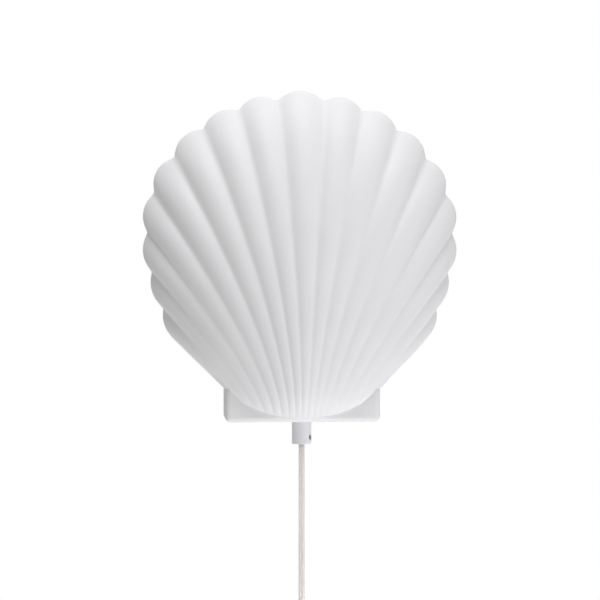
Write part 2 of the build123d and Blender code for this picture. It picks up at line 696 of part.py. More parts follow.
def cord_tie():
    """A flat band round all the turns at the top of the coil."""
    radii = [abs(x - COIL_X) for x, _ in coil_halves()]
    low = COIL_HEIGHT + min(radii) - COIL_STEP / 4 - CORD_RADIUS - TIE_CLEARANCE
    high = COIL_HEIGHT + max(radii) + CORD_RADIUS + TIE_CLEARANCE - COIL_STEP / 2
    front = LAYER_Y[0] - CORD_RADIUS - FLAT_GAP
    back = LAYER_Y[1] + CORD_RADIUS + FLAT_GAP
    centre = Pos(COIL_X, (front + back) / 2, (low + high) / 2)
    room = centre * Box(2 * TIE_WIDTH, back - front, high - low)
    band = centre * Box(TIE_WIDTH, back - front + 2 * TIE_WALL, high - low + 2 * TIE_WALL)
    return chamfer(band.edges().filter_by(Axis.X), TIE_WALL) - room


def inner_cord():
    """The sheathed cord inside the grip and the nipple."""
    return bar(CORD_RADIUS, -GRIP_HEIGHT, NIPPLE_TOP)


def inner_wires():
    """Two wires from the end of the sheath to the terminal screws."""
    foot, head = NIPPLE_TOP, CORE_Z - TERMINAL_HEAD
    wires = []
    for side in (-1, 1):
        near, far = side * WIRE_SPREAD, side * TERMINAL_X
        route = [
            (near, LAMP_Y, foot), (near, LAMP_Y, foot + WIRE_STRAIGHT[0]),
            (far, LAMP_Y, head - WIRE_STRAIGHT[1]), (far, LAMP_Y, head),
        ]
        section = Plane(origin=route[0], z_dir=(0, 0, 1)) * RegularPolygon(WIRE_RADIUS, 6)
        wires.append(sweep(section, Polyline(*route), transition=Transition.RIGHT))
    return wires


# --- In-line switch ---
def switch_half(front):
    """One half of the switch housing, open towards the other half."""
    middle = Pos(TAIL_X, LAYER_Y[1], SWITCH_MID)
    thick = SWITCH_THICK / 2
    toward = -1 if front else 1
    block = middle * Pos(0, toward * thick / 2, 0) * Box(SWITCH_WIDTH, thick, SWITCH_LENGTH)
    far = block.faces().sort_by(Axis.Y)[0 if front else -1]
    upright = block.edges().filter_by(Axis.Y)
    block = chamfer(list(far.edges()) + list(upright), SWITCH_CHAMFER)
    room = Box(SWITCH_WIDTH - 2 * SWITCH_WALL, thick - SWITCH_WALL, SWITCH_LENGTH - 2 * SWITCH_WALL)
    block -= middle * Pos(0, toward * (thick - SWITCH_WALL) / 2, 0) * chamfer(
        room.edges().filter_by(Axis.Y), SWITCH_CHAMFER)
    block -= rod(CORD_RADIUS + CORD_CLEARANCE, SWITCH_MID - SWITCH_LENGTH, SWITCH_MID + SWITCH_LENGTH,
                 TAIL_X, LAYER_Y[1])
    return block


def switch_cover():
    """The front half, with the window and the two cheeks that hold the rocker's pin."""
    cover = switch_half(True)
    middle = Pos(TAIL_X, LAYER_Y[1], SWITCH_MID)
    window = Box(ROCKER_WIDTH + 2 * FLAT_GAP, SWITCH_THICK * 2, ROCKER_LENGTH + 2 * FLAT_GAP)
    cover -= middle * Pos(0, -SWITCH_THICK, 0) * window
    depth = SWITCH_THICK / 2 - SWITCH_WALL / 2
    for side in (-1, 1):
        x = side * (ROCKER_WIDTH / 2 + FLAT_GAP + SWITCH_WALL / 2)
        place = middle * Pos(x, -depth / 2 - SWITCH_WALL / 4, 0)
        cover += place * Box(SWITCH_WALL, depth - THROUGH, CHEEK_LENGTH)
    half = ROCKER_WIDTH / 2 + FLAT_GAP + SWITCH_WALL
    return cover - rocker_pin(ROCKER_PIN + THREAD_CLEARANCE, half + THROUGH)


def rocker_pin(radius, half):
    turn = Rot(0, 90, 0) * Cylinder(radius, 2 * half)
    return Pos(TAIL_X, LAYER_Y[1] - SWITCH_THICK / 2 + ROCKER_PIN_DEPTH, SWITCH_MID) * turn


def switch_rocker():
    """The rocker at rest: pressed in at its lower end, on a pin across the window."""
    pivot_y = LAYER_Y[1] - SWITCH_THICK / 2 + ROCKER_PIN_DEPTH
    reach = ROCKER_LENGTH / 2 - ROCKER_END_GAP
    front = -ROCKER_PIN_DEPTH - ROCKER_PROUD
    end, foot = ROCKER_BACK
    with BuildPart() as piece:
        with BuildSketch(Plane.YZ):
            with BuildLine():
                Polyline(
                    (front - ROCKER_DISH, reach), (front, 0), (front - ROCKER_DISH, -reach), (end, -reach),
                    (foot, -ROCKER_FOOT), (foot, ROCKER_FOOT), (end, reach), close=True)
            make_face()
        extrude(amount=ROCKER_WIDTH / 2, both=True)
    place = Pos(TAIL_X, pivot_y, SWITCH_MID) * Rot(ROCKER_TILT, 0, 0)
    half = ROCKER_WIDTH / 2 + FLAT_GAP + SWITCH_WALL
    return place * piece.part + rocker_pin(ROCKER_PIN, half - PIN_END_GAP)


def cord_end_clamps():
    """Two bars inside the rear half that press on the cord at its ends."""
    thick, high = CLAMP
    width = SWITCH_WIDTH - 2 * SWITCH_WALL - THROUGH
    y = LAYER_Y[1] + CORD_RADIUS + CORD_CLEARANCE + thick / 2
    reach = SWITCH_LENGTH / 2 - CORD_ENTRY + CLAMP_INSET
    return [Pos(TAIL_X, y, SWITCH_MID + side * reach) * Box(width, thick, high) for side in (-1, 1)]


# --- Plug ---
def plug_body():
    """A flat two-pin plug and its strain relief, moulded in one."""
    low = PLUG_TOP - RELIEF_LENGTH - PLUG_LENGTH
    high = PLUG_TOP - RELIEF_LENGTH
    nose = PLUG_NOSE / 2
    half = PLUG_WIDTH / 2
    across, up = PLUG_CORNER
    right = [
        (half - across, low), (half, low + up), (half, low + PLUG_FLANK), (nose, high - PLUG_NECK), (nose, high),
    ]
    with BuildPart() as piece:
        with BuildSketch(Plane.XZ):
            with BuildLine():
                Polyline(*right, *[(-x, z) for x, z in reversed(right)], close=True)
            make_face()
        extrude(amount=PLUG_THICK / 2, both=True)
        chamfer(piece.faces().filter_by(Axis.Y).edges(), PLUG_CHAMFER)
    body = Pos(TAIL_X, LAYER_Y[1], 0) * piece.part
    foot = high - PLUG_NECK
    relief = [(0, foot), (RELIEF_RADIUS, foot), (RELIEF_TIP, PLUG_TOP), (0, PLUG_TOP)]
    body += turned(relief, TAIL_X, LAYER_Y[1])
    for side in (-1, 1):
        x = TAIL_X + side * PIN_SPACING / 2
        body -= bar(PIN_ROOT_RADIUS + THREAD_CLEARANCE, low - THROUGH, low + PIN_ROOT + FLAT_GAP, x, LAYER_Y[1])
    return body


def plug_pins():
    """Two round pins, each with a thicker root inside the plug."""
    low = PLUG_TOP - RELIEF_LENGTH - PLUG_LENGTH
    return [
        rod(PIN_RADIUS, low - PIN_LENGTH, low, TAIL_X + side * PIN_SPACING / 2, LAYER_Y[1])
        + bar(PIN_ROOT_RADIUS, low, low + PIN_ROOT, TAIL_X + side * PIN_SPACING / 2, LAYER_Y[1])
        for side in (-1, 1)
    ]


def write(name, shape):
    """Write one piece, or a group of like pieces, in its place about the bracket."""
    group = shape if isinstance(shape, list) else [shape]
    solids = [solid for item in group for solid in item.solids()]
    placed = [Pos(0, 0, -HANG_HEIGHT) * solid for solid in solids]
    export_step(Compound(children=placed) if len(placed) > 1 else placed[0], f"parts/{name}.step")


def main():
    os.makedirs("parts", exist_ok=True)
    pieces = {
        "wall_bracket": wall_bracket(),
        "shell_body": shell_body(),
        "hanger_bar": hanger_bar(),
        "lug_inserts": lug_inserts(),
        "hanger_screws": hanger_screws(),
        "threaded_nipple": ring(NIPPLE_RADIUS, NIPPLE_BORE, -NIPPLE_BELOW, NIPPLE_TOP),
        "fibre_washer": ring(SEAL_RADIUS, NIPPLE_RADIUS + CORD_CLEARANCE, SEAL_Z, SEAL_Z + SEAL),
        "lock_nut": lock_nut(),
        "holder_cap": holder_cap(),
        "holder_core": holder_core(),
        "holder_skirt": holder_skirt(),
        "socket_shell": socket_shell(),
        "socket_contact": socket_contact(),
        "terminal_screws": terminal_screws(),
        "bulb_glass": bulb_glass(),
        "bulb_cap": bar(LAMP_CAP_RADIUS, LAMP_Z + LAMP_CONTACT, LAMP_Z + LAMP_CONTACT + LAMP_CAP_LENGTH),
        "bulb_contact": bar(LAMP_CAP_RADIUS / 2, LAMP_Z, LAMP_Z + LAMP_CONTACT),
        "inner_cord": inner_cord(),
        "inner_wires": inner_wires(),
        "cord_grip": cord_grip(),
        "grip_screw": grub(CORD_RADIUS + CORD_CLEARANCE, GRIP_RADIUS - GRUB_RECESS, GRUB_RADIUS),
        "cord_drop": bar(CORD_RADIUS, COIL_HEIGHT + 2 * CORD_RADIUS, -GRIP_HEIGHT),
        "cord_coil": cord_coil(),
        "cord_tie": cord_tie(),
        "cord_link": bar(CORD_RADIUS, SWITCH_TOP - CORD_ENTRY, COIL_HEIGHT - 2 * CORD_RADIUS, TAIL_X, LAYER_Y[1]),
        "cord_tail": bar(CORD_RADIUS, PLUG_TOP, SWITCH_TOP - SWITCH_LENGTH + CORD_ENTRY, TAIL_X, LAYER_Y[1]),
        "switch_base": switch_half(False),
        "switch_cover": switch_cover(),
        "switch_rocker": switch_rocker(),
        "switch_clamps": cord_end_clamps(),
        "plug_body": plug_body(),
        "plug_pins": plug_pins(),
    }
    for name, shape in pieces.items():
        write(name, shape)


if __name__ == "__main__":
    main()
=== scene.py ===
# %% [markdown]
# # A scalloped shell wall lamp
# The lamp is a cast ceramic shell on a plain box, hung on a steel strap. This script dresses its
# fixed solids: it builds the pieces whose form a turned or faceted solid can't show, and gives
# every piece a finish. The first step loads those solids.

# %% Load the solids
import math

import bmesh
import bpy
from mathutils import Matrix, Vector


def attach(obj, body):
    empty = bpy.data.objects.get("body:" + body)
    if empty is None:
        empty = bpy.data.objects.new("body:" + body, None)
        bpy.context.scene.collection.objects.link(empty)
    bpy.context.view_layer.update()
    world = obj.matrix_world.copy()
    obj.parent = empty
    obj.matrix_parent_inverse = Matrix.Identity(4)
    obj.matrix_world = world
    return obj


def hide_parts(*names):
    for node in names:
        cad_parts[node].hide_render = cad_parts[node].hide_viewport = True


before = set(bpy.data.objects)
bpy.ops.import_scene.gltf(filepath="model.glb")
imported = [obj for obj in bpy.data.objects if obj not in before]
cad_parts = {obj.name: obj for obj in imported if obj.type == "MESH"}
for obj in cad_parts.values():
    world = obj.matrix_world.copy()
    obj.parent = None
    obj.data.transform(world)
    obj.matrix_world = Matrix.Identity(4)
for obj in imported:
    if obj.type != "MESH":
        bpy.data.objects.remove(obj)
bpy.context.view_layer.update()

# %% [markdown]
# ## Places
# The sizes below are in millimetres, with heights above the underside of the cast box, as a potter
# or a lamp maker would measure them. Blender works in metres from the middle of the wall strap, so
# one small function turns one into the other. That keeps every later number easy to check.

# %% Millimetres to the scene
HANG_HEIGHT = 190.0  # the strap's middle above the underside of the box
LAMP_Y = -32.0  # the lampholder's axis in front of the wall


def spot(x, y, height):
    """A place on the lamp in the scene's metres."""
    return Vector((x, y, height - HANG_HEIGHT)) / 1000


print("underside of the box:", spot(0, 0, 0))

# %% [markdown]
# ## Camera
# The shell was photographed from straight ahead, a little to the left, from far enough away to look
# almost flat. A long lens nearly two metres off gives that. The lens follows from the width that
# the picture takes in at the lamp: sensor width times distance over that width.

# %% Camera
CAMERA_TURN = math.radians(4.0)  # to the left of straight ahead
CAMERA_DISTANCE = 1.8
VIEW_WIDTH = 0.552
SENSOR = 36.0
aim = spot(-0.9, -24, 110.9)  # the middle of the picture
away = Vector((-math.sin(CAMERA_TURN), -math.cos(CAMERA_TURN), 0))
camera = bpy.data.objects.new("camera", bpy.data.cameras.new("camera"))
bpy.context.scene.collection.objects.link(camera)
camera.location = aim + away * CAMERA_DISTANCE
camera.rotation_euler = (-away).to_track_quat("-Z", "Y").to_euler()
camera.data.sensor_width = SENSOR
camera.data.lens = SENSOR * CAMERA_DISTANCE / VIEW_WIDTH
bpy.context.scene.camera = camera
print("lens:", round(camera.data.lens, 1), "mm")

# %% [markdown]
# ## Finishes
# Each finish is a small network of nodes round one shader. Most share a recipe: a colour that
# varies a little through noise, a roughness that varies with it, and a fine bump. One function
# lays that recipe out, and each material below says what is special about it. Noise is measured
# in object coordinates, so that a grain keeps its real size and stays put on the piece.


# %% The shared recipe
NOISE_LOW, NOISE_HIGH = 0.3, 0.7  # most of a noise pattern lies between these
BUMP_DEPTH, FINE_DEPTH = 0.0004, 0.0003


def link(shaded, start, end):
    """A wire between two nodes of a material or of the world."""
    shaded.node_tree.links.new(start, end)


def fine_noise(material, per_metre, detail=3.0):
    """Noise with about that many blots per metre, fixed to the piece."""
    nodes = material.node_tree.nodes
    place = nodes.new("ShaderNodeTexCoord")
    noise = nodes.new("ShaderNodeTexNoise")
    noise.inputs["Scale"].default_value = per_metre
    noise.inputs["Detail"].default_value = detail
    link(material, place.outputs["Object"], noise.inputs["Vector"])
    return noise.outputs["Fac"]


def spread(material, factor, low, high):
    """The factor stretched between two numbers."""
    remap = material.node_tree.nodes.new("ShaderNodeMapRange")
    remap.inputs["From Min"].default_value = NOISE_LOW
    remap.inputs["From Max"].default_value = NOISE_HIGH
    remap.inputs["To Min"].default_value = low
    remap.inputs["To Max"].default_value = high
    link(material, factor, remap.inputs["Value"])
    return remap.outputs["Result"]


def tinted(material, factor, first, second):
    """A colour between two, by a factor."""
    mix = material.node_tree.nodes.new("ShaderNodeMix")
    mix.data_type = "RGBA"
    mix.inputs["A"].default_value = (*first, 1)
    mix.inputs["B"].default_value = (*second, 1)
    link(material, factor, mix.inputs["Factor"])
    return mix.outputs["Result"]


def bump(material, height, strength, depth):
    """A bump laid over the ones that the material has already."""
    nodes = material.node_tree.nodes
    normal = nodes["Principled BSDF"].inputs["Normal"]
    relief = nodes.new("ShaderNodeBump")
    relief.inputs["Strength"].default_value = strength
    relief.inputs["Distance"].default_value = depth
    link(material, height, relief.inputs["Height"])
    if normal.links:
        link(material, normal.links[0].from_socket, relief.inputs["Normal"])
    link(material, relief.outputs["Normal"], normal)


def finish(name, first, second, blots, roughness, relief, grain, metallic=0.0):
    """A finish of two close colours, a range of roughness and a bump with a grain per metre."""
    material = bpy.data.materials.new(name)
    material.use_nodes = True
    shader = material.node_tree.nodes["Principled BSDF"]
    blot = fine_noise(material, blots)
    link(material, tinted(material, blot, first, second), shader.inputs["Base Color"])
    link(material, spread(material, blot, *roughness), shader.inputs["Roughness"])
    bump(material, fine_noise(material, grain, 5.0), relief, BUMP_DEPTH)
    shader.inputs["Metallic"].default_value = metallic
    return material


print("noise between", NOISE_LOW, "and", NOISE_HIGH)

# %% [markdown]
# ## Ceramic
# The shell is cast in slip, fired white and left matt. Up close it has a very fine tooth, faint
# cloudiness, and here and there a pinhole. Small dark specks would be too much from a metre away,
# so the pinholes are dips in the bump alone, made from the centres of a Voronoi pattern.

# %% Ceramic
PITS_PER_METRE, PIT_SIZE = 85, 0.05
bisque = finish("matt_ceramic", (0.79, 0.79, 0.785), (0.835, 0.835, 0.83), 26, (0.5, 0.62), 0.28, 900)
bisque.node_tree.nodes["Principled BSDF"].inputs["IOR"].default_value = 1.45
pits = bisque.node_tree.nodes.new("ShaderNodeTexVoronoi")
pits.inputs["Scale"].default_value = PITS_PER_METRE
pit_place = bisque.node_tree.nodes.new("ShaderNodeTexCoord")
pit_edge = bisque.node_tree.nodes.new("ShaderNodeMapRange")
pit_edge.inputs["From Max"].default_value = PIT_SIZE
link(bisque, pit_place.outputs["Object"], pits.inputs["Vector"])
link(bisque, pits.outputs["Distance"], pit_edge.inputs["Value"])
bump(bisque, pit_edge.outputs["Result"], 0.5, FINE_DEPTH)
print("ceramic nodes:", len(bisque.node_tree.nodes))

# %% [markdown]
# ## Plastics
# The grip, the switch and the plug are moulded, and the lampholder is a harder, chalkier plastic.
# Moulded faces carry a fine even texture from the tool. The shared recipe with a small grain and
# little colour change is enough for all of them. The tie is softer and rougher, and so is the
# red fibre of the washer.

# %% Plastics
satin_plastic = finish(
    "satin_plastic", (0.79, 0.79, 0.81), (0.83, 0.83, 0.85), 60, (0.3, 0.4), 0.12, 2600)
switch_plastic = finish(
    "switch_plastic", (0.70, 0.70, 0.69), (0.74, 0.74, 0.73), 70, (0.25, 0.36), 0.1, 3000)
holder_plastic = finish(
    "holder_plastic", (0.74, 0.73, 0.70), (0.80, 0.79, 0.76), 80, (0.4, 0.55), 0.2, 2200)
tie_plastic = finish(
    "tie_plastic", (0.62, 0.62, 0.61), (0.70, 0.70, 0.69), 400, (0.6, 0.8), 0.7, 1800)
fibre_board = finish(
    "red_fibre", (0.30, 0.09, 0.05), (0.45, 0.16, 0.09), 900, (0.6, 0.8), 0.6, 3000)
wire_skin = finish(
    "wire_insulation", (0.72, 0.71, 0.68), (0.80, 0.79, 0.76), 200, (0.3, 0.45), 0.15, 2000)
print("finishes so far:", len(bpy.data.materials))

# %% [markdown]
# ## Metals
# The wall strap is coated white, the hanger bar and screws are zinc plated, the inserts are brass,
# the plug's pins and the bulb's cap are nickel plated, and the grip's screw is blackened. Plated
# steel shows faint cloudy patches and fine drawn lines. The lines are noise stretched in one
# direction by a Mapping node, and they go over the metal's own grain as a second bump.


# %% Metals
LINES_PER_METRE = 900


def drawn_lines(material, squeeze):
    """Fine lines, long in the direction whose scale is small."""
    nodes = material.node_tree.nodes
    place = nodes.new("ShaderNodeTexCoord")
    squeezed = nodes.new("ShaderNodeMapping")
    squeezed.inputs["Scale"].default_value = squeeze
    lines = nodes.new("ShaderNodeTexNoise")
    lines.inputs["Scale"].default_value = LINES_PER_METRE
    link(material, place.outputs["Object"], squeezed.inputs["Vector"])
    link(material, squeezed.outputs["Vector"], lines.inputs["Vector"])
    bump(material, lines.outputs["Fac"], 0.15, FINE_DEPTH)


white_coat = finish(
    "white_powder_coat", (0.76, 0.76, 0.75), (0.82, 0.82, 0.81), 120, (0.35, 0.5), 0.5, 1200)
zinc = finish(
    "zinc_plate", (0.56, 0.58, 0.60), (0.68, 0.69, 0.70), 90, (0.28, 0.45), 0.1, 1500, 1.0)
brass = finish(
    "brass", (0.72, 0.52, 0.22), (0.80, 0.61, 0.30), 150, (0.2, 0.35), 0.1, 1500, 1.0)
nickel = finish(
    "nickel_plate", (0.66, 0.64, 0.60), (0.74, 0.73, 0.70), 120, (0.14, 0.26), 0.06, 2500, 1.0)
blackened = finish(
    "blackened_steel", (0.05, 0.05, 0.05), (0.10, 0.10, 0.10), 150, (0.35, 0.5), 0.1, 1500, 1.0)
drawn_lines(zinc, (0.04, 1, 1))
drawn_lines(nickel, (1, 1, 0.05))
print("finishes:", len(bpy.data.materials))

# %% [markdown]
# ## Opal glass
# The bulb is white inside, so it looks like porcelain with a gloss on top and lets some light
# through. Subsurface scattering gives that milky depth without clear glass, which would show an
# empty bulb. A thin dust makes the gloss uneven.

# %% Opal glass
opal = finish("opal_glass", (0.86, 0.855, 0.84), (0.89, 0.885, 0.87), 30, (0.08, 0.16), 0.02, 300)
opal_shader = opal.node_tree.nodes["Principled BSDF"]
opal_shader.inputs["Subsurface Weight"].default_value = 0.3
opal_shader.inputs["Subsurface Radius"].default_value = (0.004, 0.004, 0.003)
opal_shader.inputs["Subsurface Scale"].default_value = 1.0
print("light goes", opal_shader.inputs["Subsurface Radius"].default_value[0], "m into the glass")

# %% [markdown]
# ## Clear cord sheath and its cores
# The cord is clear soft plastic over two pale cores, and looks warm white with paler edges. The
# sheath is drawn as a see-through tube with its own gloss, and the cores are separate strands
# inside it. A sheath painted like a core would lose the pale rim that a clear tube has.

# %% Sheath and cores
sheath = finish("clear_sheath", (0.92, 0.91, 0.89), (0.95, 0.94, 0.92), 300, (0.12, 0.22), 0.05, 1500)
sheath_shader = sheath.node_tree.nodes["Principled BSDF"]
sheath_shader.inputs["Transmission Weight"].default_value = 0.8
sheath_shader.inputs["IOR"].default_value = 1.3
tinned = finish("tinned_core", (0.82, 0.76, 0.71), (0.90, 0.85, 0.80), 900, (0.3, 0.5), 0.3, 3500)
print("finishes:", len(bpy.data.materials))

# %% [markdown]
# ## The cord's route
# The cord leaves the grip straight down. What the picture doesn't show is wound into a coil of six
# turns in two layers, inward through the first and outward again through the second, and goes on
# through the switch to the plug. A spline bends near its control points, so each half turn is a
# handful of them on its arc, worked out by a loop. The straight parts need only a few.

# %% Route points
CORD_RADIUS = 2.8
GRIP_HEIGHT = 20.8
COIL_HEIGHT = -212.0
COIL_RADIUS = 33.6
COIL_STEP = 6.1  # from one turn to the next
LAYER_HALVES = 6  # half turns in a layer
CLIMB_INSET = 1.6  # how much further in the cord runs where it climbs to the other layer
HALF_POINTS = 8
LAYERS = (LAMP_Y, LAMP_Y + COIL_STEP)
widest = COIL_RADIUS + (LAYER_HALVES - 0.5) * COIL_STEP / 4  # the coil's middle is as far to the right


def half_turn_end(half):
    """X and Y where one half turn of the coil ends and the next begins."""
    inward = min(half, LAYER_HALVES)
    outward = max(half - LAYER_HALVES - 1, 0)
    reach = widest - (inward - outward) * COIL_STEP / 2
    if half in (LAYER_HALVES, LAYER_HALVES + 1):
        reach -= CLIMB_INSET
    side = -1 if half % 2 == 0 else 1
    return widest + side * reach, LAYERS[half > LAYER_HALVES]


route = [(0, LAMP_Y, height) for height in (-GRIP_HEIGHT, -40, -90, -150, -195)]
for half in range(2 * LAYER_HALVES):
    (start_x, start_y), (end_x, end_y) = half_turn_end(half), half_turn_end(half + 1)
    way = -1 if half % 2 == 0 else 1
    for step in range(HALF_POINTS):
        turn = math.pi * step / HALF_POINTS
        share = (1 - math.cos(turn)) / 2
        radius = abs(end_x - start_x) / 2
        route.append((start_x + (end_x - start_x) * share, start_y + (end_y - start_y) * share,
                      COIL_HEIGHT + way * radius * math.sin(turn)))
TAIL_X, TAIL_Y = half_turn_end(2 * LAYER_HALVES)
route += [(TAIL_X, TAIL_Y, height) for height in (COIL_HEIGHT, -230, -262, -300, -325, -350)]
print("route points:", len(route), "tail at", round(TAIL_X, 2), TAIL_Y)

# %% [markdown]
# ## The cord
# A curve object is the natural cord: its spline is the route and its bevel is the round section.
# The order and the end setting come after the points, because Blender limits the order while a
# spline has too few of them.

# %% The cord itself
cord_line = bpy.data.curves.new("cord", "CURVE")
cord_line.dimensions = "3D"
spline = cord_line.splines.new("NURBS")
spline.points.add(len(route) - 1)
for point, place in zip(spline.points, route):
    point.co = (*spot(*place), 1)
spline.order_u = 3
spline.use_endpoint_u = True
spline.resolution_u = 6
cord_line.resolution_u = 6
cord = bpy.data.objects.new("cord", cord_line)
bpy.context.scene.collection.objects.link(cord)


def line_points(curve_object):
    """The curve's own line as points in the scene, read before it has any thickness."""
    depsgraph = bpy.context.evaluated_depsgraph_get()
    mesh = bpy.data.meshes.new_from_object(curve_object.evaluated_get(depsgraph))
    points = [vertex.co.copy() for vertex in mesh.vertices]
    bpy.data.meshes.remove(mesh)
    return points


centre_line = line_points(cord)
cord_length = sum((b - a).length for a, b in zip(centre_line, centre_line[1:]))
cord_line.bevel_depth = CORD_RADIUS / 1000
cord_line.bevel_resolution = 5
cord_line.use_fill_caps = True
cord_line.materials.append(sheath)
print("cord:", round(cord_length, 3), "m in", len(centre_line), "points")

# %% [markdown]
# ## Cores
# The two cores lie side by side inside the sheath, with only a slow turn along the cord. A second
# bevelled curve could lie beside the line, but would need its own bends. So a tube is swept along
# the cord's line: at each point two directions square to the line are carried along without
# twisting, and the strand circles in them.


# %% Cores
def new_piece(name, shape, material):
    """A mesh object from a bmesh, with its finish and smooth faces."""
    mesh = bpy.data.meshes.new(name)
    shape.to_mesh(mesh)
    shape.free()
    for face in mesh.polygons:
        face.use_smooth = True
    mesh.materials.append(material)
    piece = bpy.data.objects.new(name, mesh)
    bpy.context.scene.collection.objects.link(piece)
    return piece


def stands_for(piece, body, finish_slot, *solids):
    """The piece moves with a body and hides the solids that it stands for; its finish slot is not used."""
    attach(piece, body)
    if solids:
        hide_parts(*solids)


def spaced(points, gap):
    """The same line with points about one gap apart."""
    kept = [points[0]]
    for point in points[1:]:
        if (point - kept[-1]).length >= gap:
            kept.append(point)
    return kept


def band(shape, low, high):
    """A band of faces between two rings, down to triangles where a ring is a single point."""
    for side in range(len(low)):
        after = (side + 1) % len(low)
        corners = list(dict.fromkeys((low[side], low[after], high[after], high[side])))
        if len(corners) > 2:
            shape.faces.new(corners)


def strand(shape, line, orbit, radius, pitch, phase, sides=8):
    """A thin tube that circles the line at a distance, once in each pitch."""
    travelled = 0.0
    across = Vector((1, 0, 0))
    before = None
    for index, here in enumerate(line):
        ahead = line[min(index + 1, len(line) - 1)] - line[max(index - 1, 0)]
        along = ahead.normalized()
        across = (across - along * across.dot(along)).normalized()
        other = along.cross(across)
        if index:
            travelled += (here - line[index - 1]).length
        swing = phase + 2 * math.pi * travelled / pitch
        middle = here + (across * math.cos(swing) + other * math.sin(swing)) * orbit
        ring = []
        for side in range(sides):
            turn = 2 * math.pi * side / sides
            outward = across * math.cos(turn) + other * math.sin(turn)
            ring.append(shape.verts.new(middle + outward * radius))
        if before:
            band(shape, before, ring)
        else:
            shape.faces.new(reversed(ring))
        before = ring
    shape.faces.new(before)


RING_GAP, CORE_ORBIT, CORE_RADIUS, CORE_PITCH = 0.0022, 0.0011, 0.001, 4.0  # metres
core_line = spaced(centre_line, RING_GAP)
core_shape = bmesh.new()
for phase in (0, math.pi):
    strand(core_shape, core_line, CORE_ORBIT, CORE_RADIUS, CORE_PITCH, phase)
cores = new_piece("cord_cores", core_shape, tinned)
print("core faces:", len(cores.data.polygons))

# %% [markdown]
# ## Shell outline
# Seen from the front the rim is nearly a circle, cut into seventeen lobes by the ribs. The notches
# lie on a slowly changing radius about a pole in the middle of the shell. These formulas give a
# point of the rim, and one of the arc where the bulge runs into the box, for any rib number. Whole
# numbers are crests, halves are grooves, and an inset moves inward by the wall's thickness.

# %% Outline of the rim and the foot
SIDE_RIBS = 8
EDGE = SIDE_RIBS + 0.5
WALL = 5.0
RIM_GAP = 16.0
RIM_POLE = 154.0
RADIUS_TOP, RADIUS_SIDE, RADIUS_LOW, RADIUS_END = 142.4, 146.2, 136.3, 141.3
MIDDLE_HALF, LOBE_PITCH, END_LOBE, SIDE_ANGLE = 8.8, 14.73, 11.6, 60.0  # degrees
SEAM_RADIUS, SEAM_BASE, SEAM_HALF, SEAM_SPREAD = 106.0, 3.2, 70.2, 0.62


def ease(share):
    """A smooth step from 0 to 1."""
    return (1 - math.cos(math.pi * min(max(share, 0.0), 1.0))) / 2


def rim_point(station, inset):
    """X and height on the rim at a rib number."""
    count = abs(station)
    last = EDGE - 1
    end_angle = MIDDLE_HALF + LOBE_PITCH * (last - 0.5)
    if count <= 0.5:
        angle = MIDDLE_HALF * count / 0.5
    else:
        angle = MIDDLE_HALF + LOBE_PITCH * (min(count, last) - 0.5)
    if count > last:
        radius = RADIUS_LOW + (RADIUS_END - RADIUS_LOW) * (count - last)
        angle += END_LOBE * (count - last)
    elif angle < SIDE_ANGLE:
        radius = RADIUS_TOP + (RADIUS_SIDE - RADIUS_TOP) * ease(angle / SIDE_ANGLE)
    else:
        fall = ease((angle - SIDE_ANGLE) / (end_angle - SIDE_ANGLE))
        radius = RADIUS_SIDE + (RADIUS_LOW - RADIUS_SIDE) * fall
    turn = math.copysign(math.radians(angle), station)
    return (radius - inset) * math.sin(turn), RIM_POLE + (radius - inset) * math.cos(turn)


def seam_point(station, inset):
    """X and height on the arc where the bulge runs into the box."""
    share = abs(station) / EDGE
    spread_share = SEAM_SPREAD * share + (1 - SEAM_SPREAD) * share**3
    x = math.copysign((SEAM_HALF - inset) * spread_share, station)
    return x, SEAM_BASE + inset + SEAM_RADIUS - math.sqrt(SEAM_RADIUS**2 - x * x)


print("middle of the rim:", rim_point(0, 0), "end of the foot:", seam_point(EDGE, 0))

# %% [markdown]
# ## Groove lines
# A groove line climbs from the foot over the deepest part of the belly to a notch in the rim. Its
# level runs from -1 at the foot to 0 at the belly and 1 at the rim. A power of two would make each
# stretch an ellipse. Below the belly a higher one makes it fuller, and above it a pair of lower
# ones lets it fall away gently. The foot lies just behind the front of the box and follows its
# rounded corners, so the two run into each other without a step.

# %% Groove lines
DEPTH, SHOULDER_DEPTH = 91.8, 38.0
BOX_WIDTH, BOX_DEPTH, BOX_HEIGHT, BOX_EDGE, BOX_WALL = 141.0, 52.0, 33.0, 5.0, 5.0
FOOT_BEHIND = 1.2
BELLY = 0.36  # the share of a groove's height at which it is deepest
FAN = 0.35  # how much the middle grooves bend outwards on their way up
RIDGE_POWER, RIDGE_ROOT = 1.6, 0.7  # of the depth from the middle rib to the sides
TUCK_POWER = 2.4  # below the belly
FALL_POWER, FALL_ROOT = 1.6, 0.8  # above it
ROUNDING = 1.8  # of the rim's front edge


